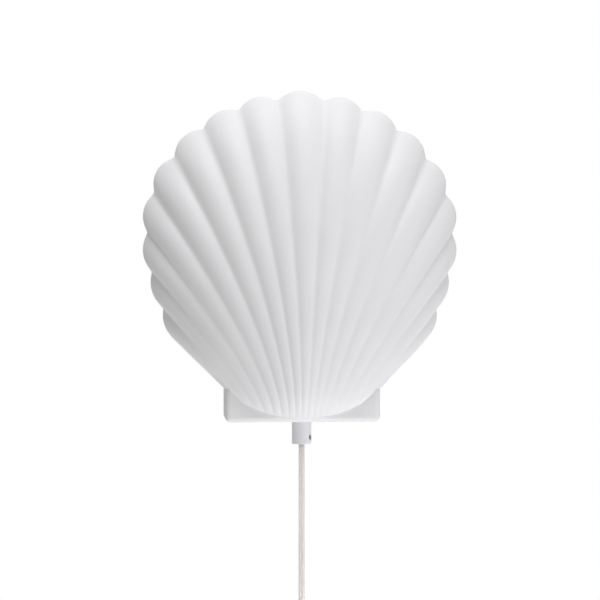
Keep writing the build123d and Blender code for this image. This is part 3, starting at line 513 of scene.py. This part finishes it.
def groove_point(station, level, inset):
    """A point on a groove line, in millimetres."""
    side = min(abs(station) / EDGE, 1.0)
    gap = RIM_GAP if inset else RIM_GAP + ROUNDING
    if level < 0:
        rise = BELLY * (1 - math.sin(-level * math.pi / 2))
    else:
        rise = BELLY + (1 - BELLY) * level
    (x_rim, z_rim), (x_seam, z_seam) = rim_point(station, inset), seam_point(station, inset)
    x = x_seam + (x_rim - x_seam) * rise ** (1 + FAN * (1 - side * side))
    shoulder = SHOULDER_DEPTH - inset
    ridge = shoulder + (DEPTH - inset - shoulder) * (1 - side**RIDGE_POWER) ** RIDGE_ROOT
    if level < 0:
        tuck = math.sin(-level * math.pi / 2)
        corner = min(max(abs(x_seam) - BOX_WIDTH / 2 + BOX_EDGE, 0.0), BOX_EDGE)
        foot = BOX_DEPTH - FOOT_BEHIND - inset - BOX_EDGE + math.sqrt(BOX_EDGE**2 - corner**2)
        depth = foot + (ridge - foot) * (1 - tuck**TUCK_POWER) ** (1 / TUCK_POWER)
        if ridge < foot:
            depth = ridge + (foot - ridge) * ease(tuck)
    else:
        depth = gap + (ridge - gap) * (1 - level**FALL_POWER) ** FALL_ROOT
    return Vector((x, -depth, z_seam + (z_rim - z_seam) * rise))


print("belly of the middle rib:", groove_point(0, 0, 0))

# %% [markdown]
# ## Cross sections
# Between two grooves the surface bulges outward as a rib: broad and round on top, with a narrow
# rounded valley at each groove, because cast slip never leaves a sharp line. The bulge is low at
# the foot and grows towards the rim, where it leans into the rim's plane and makes the lobes. The
# outer ribs are flatter than the middle ones.

# %% Cross sections
RISE_FOOT, RISE_RIM = 0.078, 0.205  # a rib's height as a share of its width
FULL_HEIGHT = 0.95  # the share of a groove's height from which a rib has all of its own
RIM_TURN = 0.7  # the level from which the ribs lean into the rim's plane
FULL_RIBS, END_RISE = 4, 0.6  # ribs beyond the fourth on each side get flatter and flatter
FOOT_SHARE, FADE_HEIGHT = 0.35, 0.05  # low at the foot, so that it meets the box in a clean arc
RIB_STEPS = 12  # faces across a rib
VALLEY = 0.92  # share of a rib's half width that is pure arc; the rest rounds the valley
FULLNESS = 2.15  # 2 is an arc; a little more makes the crest broader
TINY = 1e-3


def rib_profile(share):
    """Height across a rib, from 0 in the valley to 1 on the crest."""
    out = abs(2 * share - 1)
    eased = out - max(out - VALLEY, 0.0) ** 2 / (2 * (1 - VALLEY))
    return 1 - (eased / ((1 + VALLEY) / 2)) ** FULLNESS


def crest_direction(middle, left, right, level, inset):
    """The outward direction on a rib's middle line."""
    low, high = max(level - TINY, -1.0), min(level + TINY, 1.0)
    if low < 0 < high:
        low = 0.0
    along = groove_point(middle, high, inset) - groove_point(middle, low, inset)
    outward = (right - left).cross(along).normalized()
    if outward.y > 0:
        outward = -outward
    flat = (right - left).cross(Vector((0, -1, 0))).normalized()
    if flat.dot(outward) < 0:
        flat = -flat
    lean = ease((level - RIM_TURN) / (1 - RIM_TURN))
    return (outward * (1 - lean) + flat * lean).normalized()


def cross_section(level, inset):
    """Points across all the ribs at one level."""
    height = BELLY * (1 + level) if level < 0 else BELLY + (1 - BELLY) * level
    rise = RISE_FOOT + (RISE_RIM - RISE_FOOT) * min(height / FULL_HEIGHT, 1.0)
    rise *= min(FOOT_SHARE + height / FADE_HEIGHT, 1.0)
    points = []
    for rib in range(2 * SIDE_RIBS + 1):
        middle = rib - SIDE_RIBS
        left, right = (groove_point(middle + half, level, inset) for half in (-0.5, 0.5))
        outward = crest_direction(middle, left, right, level, inset)
        flatter = max(abs(middle) - FULL_RIBS, 0) / (SIDE_RIBS - FULL_RIBS)
        reach = rise * (1 - (1 - END_RISE) * flatter) * (right - left).length
        for step in range(RIB_STEPS + (rib == 2 * SIDE_RIBS)):
            share = step / RIB_STEPS
            points.append(left.lerp(right, share) + outward * reach * rib_profile(share))
    return points


print("points across the ribs:", len(cross_section(0.5, 0)))

# %% [markdown]
# ## The shell
# The shell is one closed skin: up the outside, over a small rounded edge at the rim, across the
# flat back of the rim, down the inside and back to the foot. Rows lie closer where the surface
# turns fast. Building it row by row keeps the ribs crisp where a sculpted or remeshed form would
# wash them out.

# %% The shell's skin
LOWER_ROWS, UPPER_ROWS, ROW_SPREAD, EDGE_STEPS = 16, 56, 1.3, 5
lower_levels = [-((1 - row / LOWER_ROWS) ** ROW_SPREAD) for row in range(LOWER_ROWS)]
upper_levels = [1 - (1 - row / UPPER_ROWS) ** ROW_SPREAD for row in range(UPPER_ROWS + 1)]
all_levels = lower_levels + upper_levels
rows = [cross_section(level, 0.0) for level in all_levels]
for step in range(1, EDGE_STEPS + 1):
    turn = math.pi / 2 * step / EDGE_STEPS
    edge = cross_section(1.0, ROUNDING * (1 - math.cos(turn)))
    depth = RIM_GAP + ROUNDING * (1 - math.sin(turn))
    rows.append([Vector((p.x, -depth, p.z)) for p in edge])
rows += [cross_section(level, WALL) for level in reversed(all_levels)]

skin = bmesh.new()
grid = [[skin.verts.new(spot(*point)) for point in row] for row in rows]
for low, high in zip(grid, grid[1:] + grid[:1]):
    for column in range(len(low) - 1):
        skin.faces.new((low[column], low[column + 1], high[column + 1], high[column]))
half_count = len(all_levels)
for column in (0, -1):
    outside = [row[column] for row in grid[:half_count]]
    inside = [row[column] for row in reversed(grid[-half_count:])]
    for index in range(half_count - 1):
        skin.faces.new((outside[index], inside[index], inside[index + 1], outside[index + 1]))
    skin.faces.new([row[column] for row in grid[half_count - 1:half_count + EDGE_STEPS + 1]])
bmesh.ops.recalc_face_normals(skin, faces=skin.faces)
shell = new_piece("scallop_shell", skin, bisque)
stands_for(shell, "lamp", "ceramic", "shell_body")
print("shell faces:", len(shell.data.polygons))

# %% [markdown]
# ## The box under the shell
# The box is cast with the shell, with soft outer edges, and hollow from behind. Its top follows
# the bulge. A block with bevelled edges is cut by four solids: the trough for the bulge, the room
# behind, the hole for the nipple and a flat seat round it. Booleans suit it, because the cuts are
# plain shapes. The solids that cut come first.

# %% Cutting shapes
ROOM_DEPTH = 23.0
ARC_STEPS = 20  # on each side of the trough's middle
TROUGH_HALF, CUT_TOP, CUT_BACK, CUT_FRONT = 80, 60, 5, -60  # well past the block on all sides
HOLE_RADIUS, HOLE_LOW, HOLE_TOP = 5.3, -5, 12
SEAT_RADIUS, SEAT_TOP = 10.0, 30


def block(shape, low, high):
    """A rectangular block between two corners, in millimetres."""
    round_it = ((low[0], low[1]), (high[0], low[1]), (high[0], high[1]), (low[0], high[1]))
    corners = [shape.verts.new(spot(x, y, z)) for z in (low[2], high[2]) for x, y in round_it]
    sides = ((3, 2, 1, 0), (4, 5, 6, 7), (0, 1, 5, 4), (1, 2, 6, 5), (2, 3, 7, 6), (3, 0, 4, 7))
    for side in sides:
        shape.faces.new([corners[index] for index in side])


def prism(shape, outline, back, front):
    """A solid between two Y planes, from an outline of X and height pairs."""
    ends = [[shape.verts.new(spot(x, y, z)) for x, z in outline] for y in (front, back)]
    shape.faces.new(ends[0])
    shape.faces.new(reversed(ends[1]))
    count = len(outline)
    for index in range(count):
        after = (index + 1) % count
        shape.faces.new((ends[0][after], ends[0][index], ends[1][index], ends[1][after]))


def round_ring(shape, radius, height, sides):
    """Points in a level circle about the lampholder's axis."""
    turns = [2 * math.pi * side / sides for side in range(sides)]
    return [shape.verts.new(spot(radius * math.cos(turn), LAMP_Y + radius * math.sin(turn), height))
            for turn in turns]


def rod(shape, radius, low, high, sides=48):
    """An upright round solid."""
    foot, head = (round_ring(shape, radius, height, sides) for height in (low, high))
    shape.faces.new(reversed(foot))
    shape.faces.new(head)
    band(shape, foot, head)


base, reach = SEAM_BASE + WALL / 2, SEAM_HALF - WALL / 2
arc = []
for step in range(-ARC_STEPS, ARC_STEPS + 1):
    x = reach * step / ARC_STEPS
    arc.append((x, base + SEAM_RADIUS - math.sqrt(SEAM_RADIUS**2 - x * x)))
arc_end = arc[-1][1]
trough = bmesh.new()
prism(trough, [(-TROUGH_HALF, arc_end)] + arc + [
    (TROUGH_HALF, arc_end), (TROUGH_HALF, CUT_TOP), (-TROUGH_HALF, CUT_TOP)], CUT_BACK, CUT_FRONT)
room = bmesh.new()
room_half = BOX_WIDTH / 2 - BOX_WALL
block(room, (-room_half, -ROOM_DEPTH, BOX_WALL), (room_half, CUT_BACK, CUT_TOP))
hole = bmesh.new()
rod(hole, HOLE_RADIUS, HOLE_LOW, HOLE_TOP)
seat = bmesh.new()
rod(seat, SEAT_RADIUS, BOX_WALL, SEAT_TOP)
print("trough corners:", len(trough.verts))

# %% [markdown]
# ## Cutting the box
# The block's front corners and its lower edges are rounded before the cuts, because the edges are
# easy to name while there are only twelve. Each cut is then made for good, and its tool is thrown
# away, so that the box is a plain mesh in the end.


# %% The box
def runs(edge, axis, **at):
    """Whether an edge runs along an axis and lies where the other values say."""
    start, end = (vertex.co for vertex in edge.verts)
    if abs(abs((end - start).normalized()[axis]) - 1) > 1e-4:
        return False
    return all(abs(getattr(start, key) - value) < 1e-5 for key, value in at.items())


def cut(piece, tool_shape, name):
    """Take a solid away from a piece, for good."""
    tool = new_piece(name, tool_shape, bisque)
    modifier = piece.modifiers.new(name, "BOOLEAN")
    modifier.operation, modifier.object, modifier.solver = "DIFFERENCE", tool, "EXACT"
    depsgraph = bpy.context.evaluated_depsgraph_get()
    mesh = bpy.data.meshes.new_from_object(piece.evaluated_get(depsgraph))
    piece.modifiers.clear()
    piece.data = mesh
    bpy.data.objects.remove(tool)


def shade(piece, degrees):
    """Smooth faces, with a crisp edge wherever the surface turns by more than the angle."""
    for face in piece.data.polygons:
        face.use_smooth = True
    piece.data.set_sharp_from_angle(angle=math.radians(degrees))


box_shape = bmesh.new()
block(box_shape, (-BOX_WIDTH / 2, -BOX_DEPTH, 0), (BOX_WIDTH / 2, 0, BOX_HEIGHT))
front, under = -BOX_DEPTH / 1000, -HANG_HEIGHT / 1000
X_AXIS, Y_AXIS, Z_AXIS = range(3)
soft = [edge for edge in box_shape.edges if runs(edge, Z_AXIS, y=front)
        or runs(edge, X_AXIS, y=front, z=under) or runs(edge, Y_AXIS, z=under)]
bmesh.ops.bevel(box_shape, geom=soft, offset=BOX_EDGE / 1000, offset_type="OFFSET", segments=5,
                profile=0.5, affect="EDGES", clamp_overlap=True)
box = new_piece("cast_box", box_shape, bisque)
for name, tool_shape in (("trough", trough), ("room", room), ("hole", hole), ("seat", seat)):
    cut(box, tool_shape, name)
shade(box, 35)
stands_for(box, "lamp", "ceramic")
print("box faces:", len(box.data.polygons))

# %% [markdown]
# ## Lugs
# Two round bosses inside the shell carry the hanger bar. They are cast with it, and a six-sided
# socket in each holds a brass insert. A ring between a circle and a hexagon, drawn out towards
# the wall, makes the boss with its socket in one go.

# %% Lugs
LUG_X, LUG_HEIGHT, LUG_FACE, LUG_RADIUS = 100.0, 188.0, -21.0, 8.0
LUG_ROOT = -44.0  # ends inside the shell's wall
LUG_EASE, LUG_STEPS = 0.8, 48
SOCKET_DEPTH, SOCKET_FLATS = 8.05, 7.1


def hexagon(turn):
    """Distance from the middle to a hexagon's side, in a direction."""
    local = (turn % (math.pi / 3)) - math.pi / 6
    return SOCKET_FLATS / 2 / math.cos(local)


lug_shape = bmesh.new()
for side in (-1, 1):
    rings = []
    for radius, y in ((LUG_RADIUS, LUG_ROOT), (LUG_RADIUS, LUG_FACE - LUG_EASE),
                      (LUG_RADIUS - LUG_EASE, LUG_FACE), (None, LUG_FACE), (None, LUG_FACE - SOCKET_DEPTH)):
        ring = []
        for step in range(LUG_STEPS):
            turn = 2 * math.pi * step / LUG_STEPS
            reach = hexagon(turn) if radius is None else radius
            ring.append(lug_shape.verts.new(
                spot(side * LUG_X + reach * math.cos(turn), y, LUG_HEIGHT + reach * math.sin(turn))))
        rings.append(ring)
    for low, high in zip(rings, rings[1:]):
        band(lug_shape, low, high)
    lug_shape.faces.new(rings[0])
    lug_shape.faces.new(rings[-1])
bmesh.ops.recalc_face_normals(lug_shape, faces=lug_shape.faces)
lugs = new_piece("cast_lugs", lug_shape, bisque)
shade(lugs, 40)
stands_for(lugs, "lamp", "ceramic")
print("lug faces:", len(lugs.data.polygons))

# %% [markdown]
# ## Turned pieces
# The grip, the bulb, its cap, the nipple and the lampholder are all round about an upright axis.
# Each is a profile of radius and height pairs, spun into rings of points. The corners that a mould
# or a lathe would ease get a few extra points on a small arc.


# %% Spinning a profile
def eased_corner(before, corner, after, radius, steps=4):
    """Points that round one corner of a profile."""
    corner_at = Vector(corner)
    back, on = (Vector(before) - corner_at), (Vector(after) - corner_at)
    start = corner_at + back.normalized() * min(radius, back.length / 2)
    end = corner_at + on.normalized() * min(radius, on.length / 2)
    points = []
    for step in range(steps + 1):
        share = step / steps
        points.append(tuple(start * (1 - share)**2 + corner_at * 2 * share * (1 - share) + end * share**2))
    return points


def rounded(profile, radius, closed=True):
    """The profile with its corners eased, apart from the two ends of an open one."""
    count = len(profile)
    points = []
    for index, corner in enumerate(profile):
        if not closed and index in (0, count - 1):
            points.append(corner)
        else:
            points += eased_corner(profile[index - 1], corner, profile[(index + 1) % count], radius)
    return points


def turned(name, profile, material, sides=64, closed=True):
    """A piece spun about the lampholder's axis."""
    shape = bmesh.new()
    rings = []
    for radius, height in profile:
        if radius > 0:
            rings.append(round_ring(shape, radius, height, sides))
        else:
            rings.append([shape.verts.new(spot(0.0, LAMP_Y, height))] * sides)
    for low, high in zip(rings, rings[1:]):
        band(shape, low, high)
    if closed:
        band(shape, rings[-1], rings[0])
    bmesh.ops.recalc_face_normals(shape, faces=shape.faces)
    piece = new_piece(name, shape, material)
    shade(piece, 50)
    return piece


print("corner points:", len(rounded([(2, 0), (4, 0), (4, 5), (2, 5)], 1.0)))

# %% [markdown]
# ## Cord grip
# The grip screws onto the nipple under the box and holds the cord. It is a satin grey-white
# cylinder with a slightly rounded lower edge, a hairline joint at the top, and a hole on the right
# with a small screw in it. Two short rods cut the hole through the wall: a thin one for the screw,
# and a wider one for the sunk mouth round it.

# %% Cord grip
GRIP_RADIUS, GRIP_BORE, GRIP_STEP, GRIP_JOINT = 9.0, 2.9, -11.3, 0.25
NIPPLE_CLEAR = 5.05  # radius of what fits round the nipple
GRUB_DROP, GRUB_TURN, GRUB_LENGTH = 14.3, math.radians(24), 0.009
GRUB_RADIUS, GRUB_START, SINK_RADIUS, SINK_START = 2.05, 2.8, 3.3, 7.3
grip = turned("cord_grip_body", rounded([
    (GRIP_BORE, -GRIP_HEIGHT), (GRIP_RADIUS, -GRIP_HEIGHT), (GRIP_RADIUS, -GRIP_JOINT),
    (NIPPLE_CLEAR, -GRIP_JOINT), (NIPPLE_CLEAR, GRIP_STEP), (GRIP_BORE, GRIP_STEP)], 1.0),
    satin_plastic, sides=96)
grub_way = Vector((math.cos(GRUB_TURN), -math.sin(GRUB_TURN), 0))
for radius, start in ((GRUB_RADIUS, GRUB_START), (SINK_RADIUS, SINK_START)):
    grub_hole = bmesh.new()
    bmesh.ops.create_cone(grub_hole, cap_ends=True, segments=40, radius1=radius / 1000,
                          radius2=radius / 1000, depth=GRUB_LENGTH)
    grub_hole.transform(grub_way.to_track_quat("Z", "Y").to_matrix().to_4x4())
    middle = spot(0, LAMP_Y, -GRUB_DROP) + grub_way * (start / 1000 + GRUB_LENGTH / 2)
    bmesh.ops.translate(grub_hole, verts=grub_hole.verts, vec=middle)
    cut(grip, grub_hole, "grub_hole")
shade(grip, 50)
stands_for(grip, "lamp", "grip_white", "cord_grip")
print("grip faces:", len(grip.data.polygons))

# %% [markdown]
# ## Nipple and washer
# Inside, a threaded nipple passes the box floor. Its washer and lock nut hold it. The thread is a
# saw-tooth profile spun round, without the climb of a real one, which reads as a thread at this
# size and closes on itself.

# %% Nipple and washer
NIPPLE_RADIUS, NIPPLE_BORE, NIPPLE_LOW, NIPPLE_TOP = 5.0, 3.6, -11.0, 16.5
THREAD_PITCH, THREAD_DEPTH = 1.0, 0.45
nipple_profile = [(NIPPLE_BORE, NIPPLE_LOW)]
for step in range(int((NIPPLE_TOP - NIPPLE_LOW) / THREAD_PITCH)):
    root = NIPPLE_LOW + step * THREAD_PITCH
    nipple_profile += [(NIPPLE_RADIUS - THREAD_DEPTH, root), (NIPPLE_RADIUS, root + THREAD_PITCH / 2)]
nipple_profile += [(NIPPLE_RADIUS - THREAD_DEPTH, NIPPLE_TOP), (NIPPLE_BORE, NIPPLE_TOP)]
nipple = turned("nipple_thread", nipple_profile, zinc, sides=48)
stands_for(nipple, "lamp", "zinc_steel", "threaded_nipple")
WASHER_BORE, WASHER_RADIUS, WASHER_TOP = 5.1, 9, 6.5
washer = turned("washer_disc", rounded([
    (WASHER_BORE, BOX_WALL), (WASHER_RADIUS, BOX_WALL), (WASHER_RADIUS, WASHER_TOP),
    (WASHER_BORE, WASHER_TOP)], 0.3), fibre_board)
stands_for(washer, "lamp", "fibre", "fibre_washer")
print("turns of thread:", int((NIPPLE_TOP - NIPPLE_LOW) / THREAD_PITCH))

# %% [markdown]
# ## Lampholder
# The lampholder screws on top of the nipple: a cap with the neck below, and a sleeve over the
# socket. Both are moulded, so their corners are eased, and the sleeve has a band of fine rings for
# the fingers. The socket inside is a plain nickel-plated tube.

# %% Lampholder
CAP_LOW, CAP_TOP, SKIRT_TOP = 10.5, 26.5, 50.5
HOLDER_RADIUS, HOLDER_BORE, NECK_RADIUS, NECK_TOP, CAP_FLOOR = 14, 12.5, 7.5, 14.5, 16
CAP_GAP = 0.2  # between cap and sleeve
RINGS, RING_START, RING_PITCH, RING_CUT, RING_EASE, RING_FLOOR = 6, 3, 1.6, 13.6, 0.4, 0.8
LIP_FOOT, LIP_BORE, LIP_UNDER, LIP_INSIDE = 46, 9.95, 49, 47.5
SOCKET_OUTSIDE, SOCKET_INSIDE, SOCKET_TOP = 7.52, 7.02, 46.5
cap = turned("holder_cup", rounded([
    (NIPPLE_CLEAR, CAP_LOW), (NECK_RADIUS, CAP_LOW), (NECK_RADIUS, NECK_TOP), (HOLDER_RADIUS, NECK_TOP),
    (HOLDER_RADIUS, CAP_TOP - CAP_GAP), (HOLDER_BORE, CAP_TOP - CAP_GAP), (HOLDER_BORE, CAP_FLOOR),
    (NIPPLE_CLEAR, CAP_FLOOR)], 0.6), holder_plastic, sides=80)
stands_for(cap, "lamp", "holder_white", "holder_cap")
sleeve_outside = [(HOLDER_RADIUS, CAP_TOP)]
for step in range(RINGS):
    foot = CAP_TOP + RING_START + RING_PITCH * step
    sleeve_outside += [(HOLDER_RADIUS, foot), (RING_CUT, foot + RING_EASE), (RING_CUT, foot + RING_FLOOR),
                       (HOLDER_RADIUS, foot + RING_EASE + RING_FLOOR)]
sleeve_lip = rounded([
    (HOLDER_RADIUS, LIP_FOOT), (HOLDER_RADIUS, SKIRT_TOP), (LIP_BORE, SKIRT_TOP), (LIP_BORE, LIP_UNDER),
    (HOLDER_BORE, LIP_INSIDE)], 0.5, closed=False)
skirt = turned("holder_sleeve", [(HOLDER_BORE, CAP_TOP)] + sleeve_outside + sleeve_lip,
               holder_plastic, sides=80)
stands_for(skirt, "lamp", "holder_white", "holder_skirt")
socket = turned("socket_sleeve", [
    (SOCKET_OUTSIDE, CAP_TOP), (SOCKET_OUTSIDE, SOCKET_TOP), (SOCKET_INSIDE, SOCKET_TOP),
    (SOCKET_INSIDE, CAP_TOP)], nickel)
stands_for(socket, "lamp", "nickel", "socket_shell")
print("lampholder faces:", sum(len(piece.data.polygons) for piece in (cap, skirt, socket)))

# %% [markdown]
# ## Bulb
# A small globe bulb of opal glass stands in the holder. Its outline is a short neck that flows
# into a ball. The cap under it carries a rolled thread, a rounded wave rather than a cut tooth,
# and the contact stays the plain disc of the solids.

# %% Bulb
BULB_RADIUS, BULB_FOOT, BULB_MIDDLE = 22.5, 52.1, 84.6
NECK_FOOT, NECK_FLARE, NECK_POWER, NECK_HEIGHT, NECK_STEPS = 9.0, 3.9, 1.7, 14.07, 7
BALL_START, BALL_SWEEP, BALL_STEPS = -55, 140, 32  # degrees from level
CROWN = 0.06  # the last bit of height, where the ball is almost flat
glass_profile = [(0, BULB_FOOT), (NECK_FOOT, BULB_FOOT)]
for step in range(1, NECK_STEPS):
    share = step / NECK_STEPS
    glass_profile.append((NECK_FOOT + NECK_FLARE * share**NECK_POWER, BULB_FOOT + NECK_HEIGHT * share))
for step in range(BALL_STEPS + 1):
    turn = math.radians(BALL_START + BALL_SWEEP * step / BALL_STEPS)
    glass_profile.append((BULB_RADIUS * math.cos(turn), BULB_MIDDLE + BULB_RADIUS * math.sin(turn)))
glass_profile.append((0, glass_profile[-1][1] + CROWN))
glass = turned("bulb_globe", glass_profile, opal, sides=72, closed=False)
stands_for(glass, "bulb", "opal_glass", "bulb_glass")
CAP_FOOT, TIP_RADIUS, TIP_HEIGHT = 31.1, 4.2, 2.2
SCREW_RADIUS, COLLAR_RADIUS, COLLAR_HEIGHT = 6.9, 6.85, 17.5
WAVE, WAVE_START, WAVE_HEIGHT, WAVES, WAVE_STEPS = 0.45, 2.4, 14.0, 6, 8
cap_profile = [(0, CAP_FOOT), (TIP_RADIUS, CAP_FOOT), (SCREW_RADIUS - WAVE, CAP_FOOT + TIP_HEIGHT)]
for step in range(WAVES * WAVE_STEPS + 1):
    height = CAP_FOOT + WAVE_START + WAVE_HEIGHT * step / (WAVES * WAVE_STEPS)
    dip = WAVE / 2 + WAVE / 2 * math.cos(2 * math.pi * step / WAVE_STEPS)
    cap_profile.append((SCREW_RADIUS - dip, height))
cap_profile += [(COLLAR_RADIUS, CAP_FOOT + COLLAR_HEIGHT), (COLLAR_RADIUS, BULB_FOOT), (0, BULB_FOOT)]
screw_cap = turned("bulb_screw_cap", cap_profile, nickel, closed=False)
stands_for(screw_cap, "bulb", "nickel", "bulb_cap")
print("bulb faces:", len(glass.data.polygons) + len(screw_cap.data.polygons))

# %% [markdown]
# ## The solids that stay
# Strap, bar, screws, core, contacts, switch and plug already have their true shape. They keep it,
# and get their finish and small eased edges from a Bevel modifier, which catches light as a
# pressed or moulded edge does.


# %% Finishes of the solids
def soften(piece, width):
    """Rounded edges and smooth faces, whatever the mesh under them."""
    bevel = piece.modifiers.new("soft_edges", "BEVEL")
    bevel.width, bevel.segments = width / 1000, 3
    bevel.limit_method, bevel.angle_limit = "ANGLE", math.radians(30)
    bevel.harden_normals = False
    for face in piece.data.polygons:
        face.use_smooth = True


stay = {  # the finish, and the width of the eased edges
    "wall_bracket": (white_coat, 0.35), "hanger_bar": (zinc, 0.25), "hanger_screws": (zinc, 0.3),
    "lug_inserts": (brass, 0.1), "lock_nut": (zinc, 0.3), "holder_core": (holder_plastic, 0.2),
    "socket_contact": (brass, 0.08), "terminal_screws": (zinc, 0.15), "bulb_contact": (nickel, 0.3),
    "inner_cord": (sheath, 0.0), "inner_wires": (wire_skin, 0.0), "grip_screw": (blackened, 0.1),
    "cord_tie": (tie_plastic, 0.25), "switch_base": (switch_plastic, 0.5),
    "switch_cover": (switch_plastic, 0.5), "switch_rocker": (switch_plastic, 0.4),
    "switch_clamps": (holder_plastic, 0.2), "plug_body": (switch_plastic, 0.7), "plug_pins": (nickel, 0.25),
}
for name, (material, edge_width) in stay.items():
    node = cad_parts[name]
    for material_slot in node.material_slots:
        material_slot.material = material
    if edge_width:
        soften(node, edge_width)
print("finished solids:", len(stay))

# %% [markdown]
# ## The cord on the lamp
# The cord hangs from the grip to the plug, with the coil's tie, the switch and the plug on it. It
# moves with the lamp, together with its cores, and stands in for the cord's solids, which are hidden.

# %% The cord on the lamp
stands_for(cord, "lamp", "cord_clear", "cord_drop", "cord_coil", "cord_link", "cord_tail")
stands_for(cores, "lamp", "cord_clear")

# %% [markdown]
# ## Floor
# A lamp that hangs on a wall is shown on plain white, with no floor. A pale floor still lies far
# below the plug and takes the lamp's soft shadow, with room above it for a light from below. A
# Light Path node asks whether a ray comes straight from the camera, or through gloss or glass. For
# those rays most of the floor shines plain white, and the rest is paint that keeps the shadow.


# %% Floor
FLOOR_HEIGHT, FLOOR_HALF = -2.0, 3
WHITE_SHARE, WHITE_STRENGTH = 0.8, 1.15


def seen_ray(shaded):
    """1 for rays straight from the camera or through gloss or glass, and 0 for all others."""
    nodes = shaded.node_tree.nodes
    path = nodes.new("ShaderNodeLightPath")
    seen = path.outputs["Is Camera Ray"]
    for kind in ("Is Glossy Ray", "Is Transmission Ray"):
        either = nodes.new("ShaderNodeMath")
        either.operation = "MAXIMUM"
        link(shaded, seen, either.inputs[0])
        link(shaded, path.outputs[kind], either.inputs[1])
        seen = either.outputs[0]
    return seen


def white_to_camera(material, share, strength):
    """A share of the surface shines plain white to those rays."""
    nodes = material.node_tree.nodes
    part = nodes.new("ShaderNodeMath")
    part.operation = "MULTIPLY"
    part.inputs[1].default_value = share
    shine = nodes.new("ShaderNodeEmission")
    shine.inputs["Strength"].default_value = strength
    mix = nodes.new("ShaderNodeMixShader")
    link(material, seen_ray(material), part.inputs[0])
    link(material, part.outputs[0], mix.inputs["Fac"])
    link(material, nodes["Principled BSDF"].outputs["BSDF"], mix.inputs[1])
    link(material, shine.outputs["Emission"], mix.inputs[2])
    link(material, mix.outputs["Shader"], nodes["Material Output"].inputs["Surface"])


floor_shape = bmesh.new()
for x, y in ((-1, -1), (1, -1), (1, 1), (-1, 1)):
    floor_shape.verts.new((x * FLOOR_HALF, y * FLOOR_HALF, FLOOR_HEIGHT))
floor_shape.faces.new(floor_shape.verts)
floor_paint = finish("pale_floor", (0.78, 0.78, 0.78), (0.80, 0.80, 0.80), 2, (0.7, 0.8), 0.05, 30)
white_to_camera(floor_paint, WHITE_SHARE, WHITE_STRENGTH)
floor = new_piece("floor", floor_shape, floor_paint)
print("floor:", FLOOR_HEIGHT, "m")

# %% [markdown]
# ## Background
# The world does the same as the floor: the rays that see it find plain white, and all others find
# a weak, faintly yellow grey that fills the shadows. So the background is white without more light
# on the lamp.


# %% World
AMBIENT, AMBIENT_COLOUR = 0.34, (0.99, 1.0, 0.965, 1)
world = bpy.data.worlds.new("studio")
bpy.context.scene.world = world
world.use_nodes = True
world.node_tree.nodes.clear()


def backdrop(colour, strength):
    """One even colour all round."""
    even = world.node_tree.nodes.new("ShaderNodeBackground")
    even.inputs["Color"].default_value = colour
    even.inputs["Strength"].default_value = strength
    return even.outputs["Background"]


mixed = world.node_tree.nodes.new("ShaderNodeMixShader")
out = world.node_tree.nodes.new("ShaderNodeOutputWorld")
link(world, seen_ray(world), mixed.inputs["Fac"])
link(world, backdrop(AMBIENT_COLOUR, AMBIENT), mixed.inputs[1])
link(world, backdrop((1, 1, 1, 1), 1.0), mixed.inputs[2])
link(world, mixed.outputs["Shader"], out.inputs["Surface"])
bpy.context.scene.view_settings.view_transform = "Standard"
print("ambient light:", AMBIENT)

# %% [markdown]
# ## Studio light
# In the photograph the light is broad and soft. It comes mostly from above and from below, and a
# little more from the right than from the left, so that surfaces that face the camera are the
# darkest. Large round area lamps give that, and a weaker one behind lights the side that faces the
# wall. Each is aimed by turning its own -Z towards the shell.


# %% Lamps
LAMP_COLOUR = (0.95, 0.935, 1.0)
LAMP_AIM = Vector((0, -0.03, -0.05))


def studio_lamp(name, place, size, watts):
    """A round area lamp of a size in metres, aimed at the shell."""
    lamp_data = bpy.data.lights.new(name, "AREA")
    lamp_data.shape, lamp_data.size, lamp_data.energy = "DISK", size, watts
    lamp_data.color = LAMP_COLOUR
    lamp = bpy.data.objects.new(name, lamp_data)
    bpy.context.scene.collection.objects.link(lamp)
    lamp.location = place
    lamp.rotation_euler = (LAMP_AIM - lamp.location).to_track_quat("-Z", "Y").to_euler()


studio_lamp("top_lamp", (0.0, -0.55, 1.25), 0.9, 13.5)
studio_lamp("right_lamp", (1.3, -0.6, 0.1), 0.8, 3)
studio_lamp("low_lamp", (0.35, -0.72, -1.55), 1.0, 18.5)
studio_lamp("left_lamp", (-1.3, -0.35, 0.1), 0.8, 1.0)
studio_lamp("back_lamp", (0.3, 1.6, 0.5), 0.9, 5)
print("lamps:", len(bpy.data.lights))
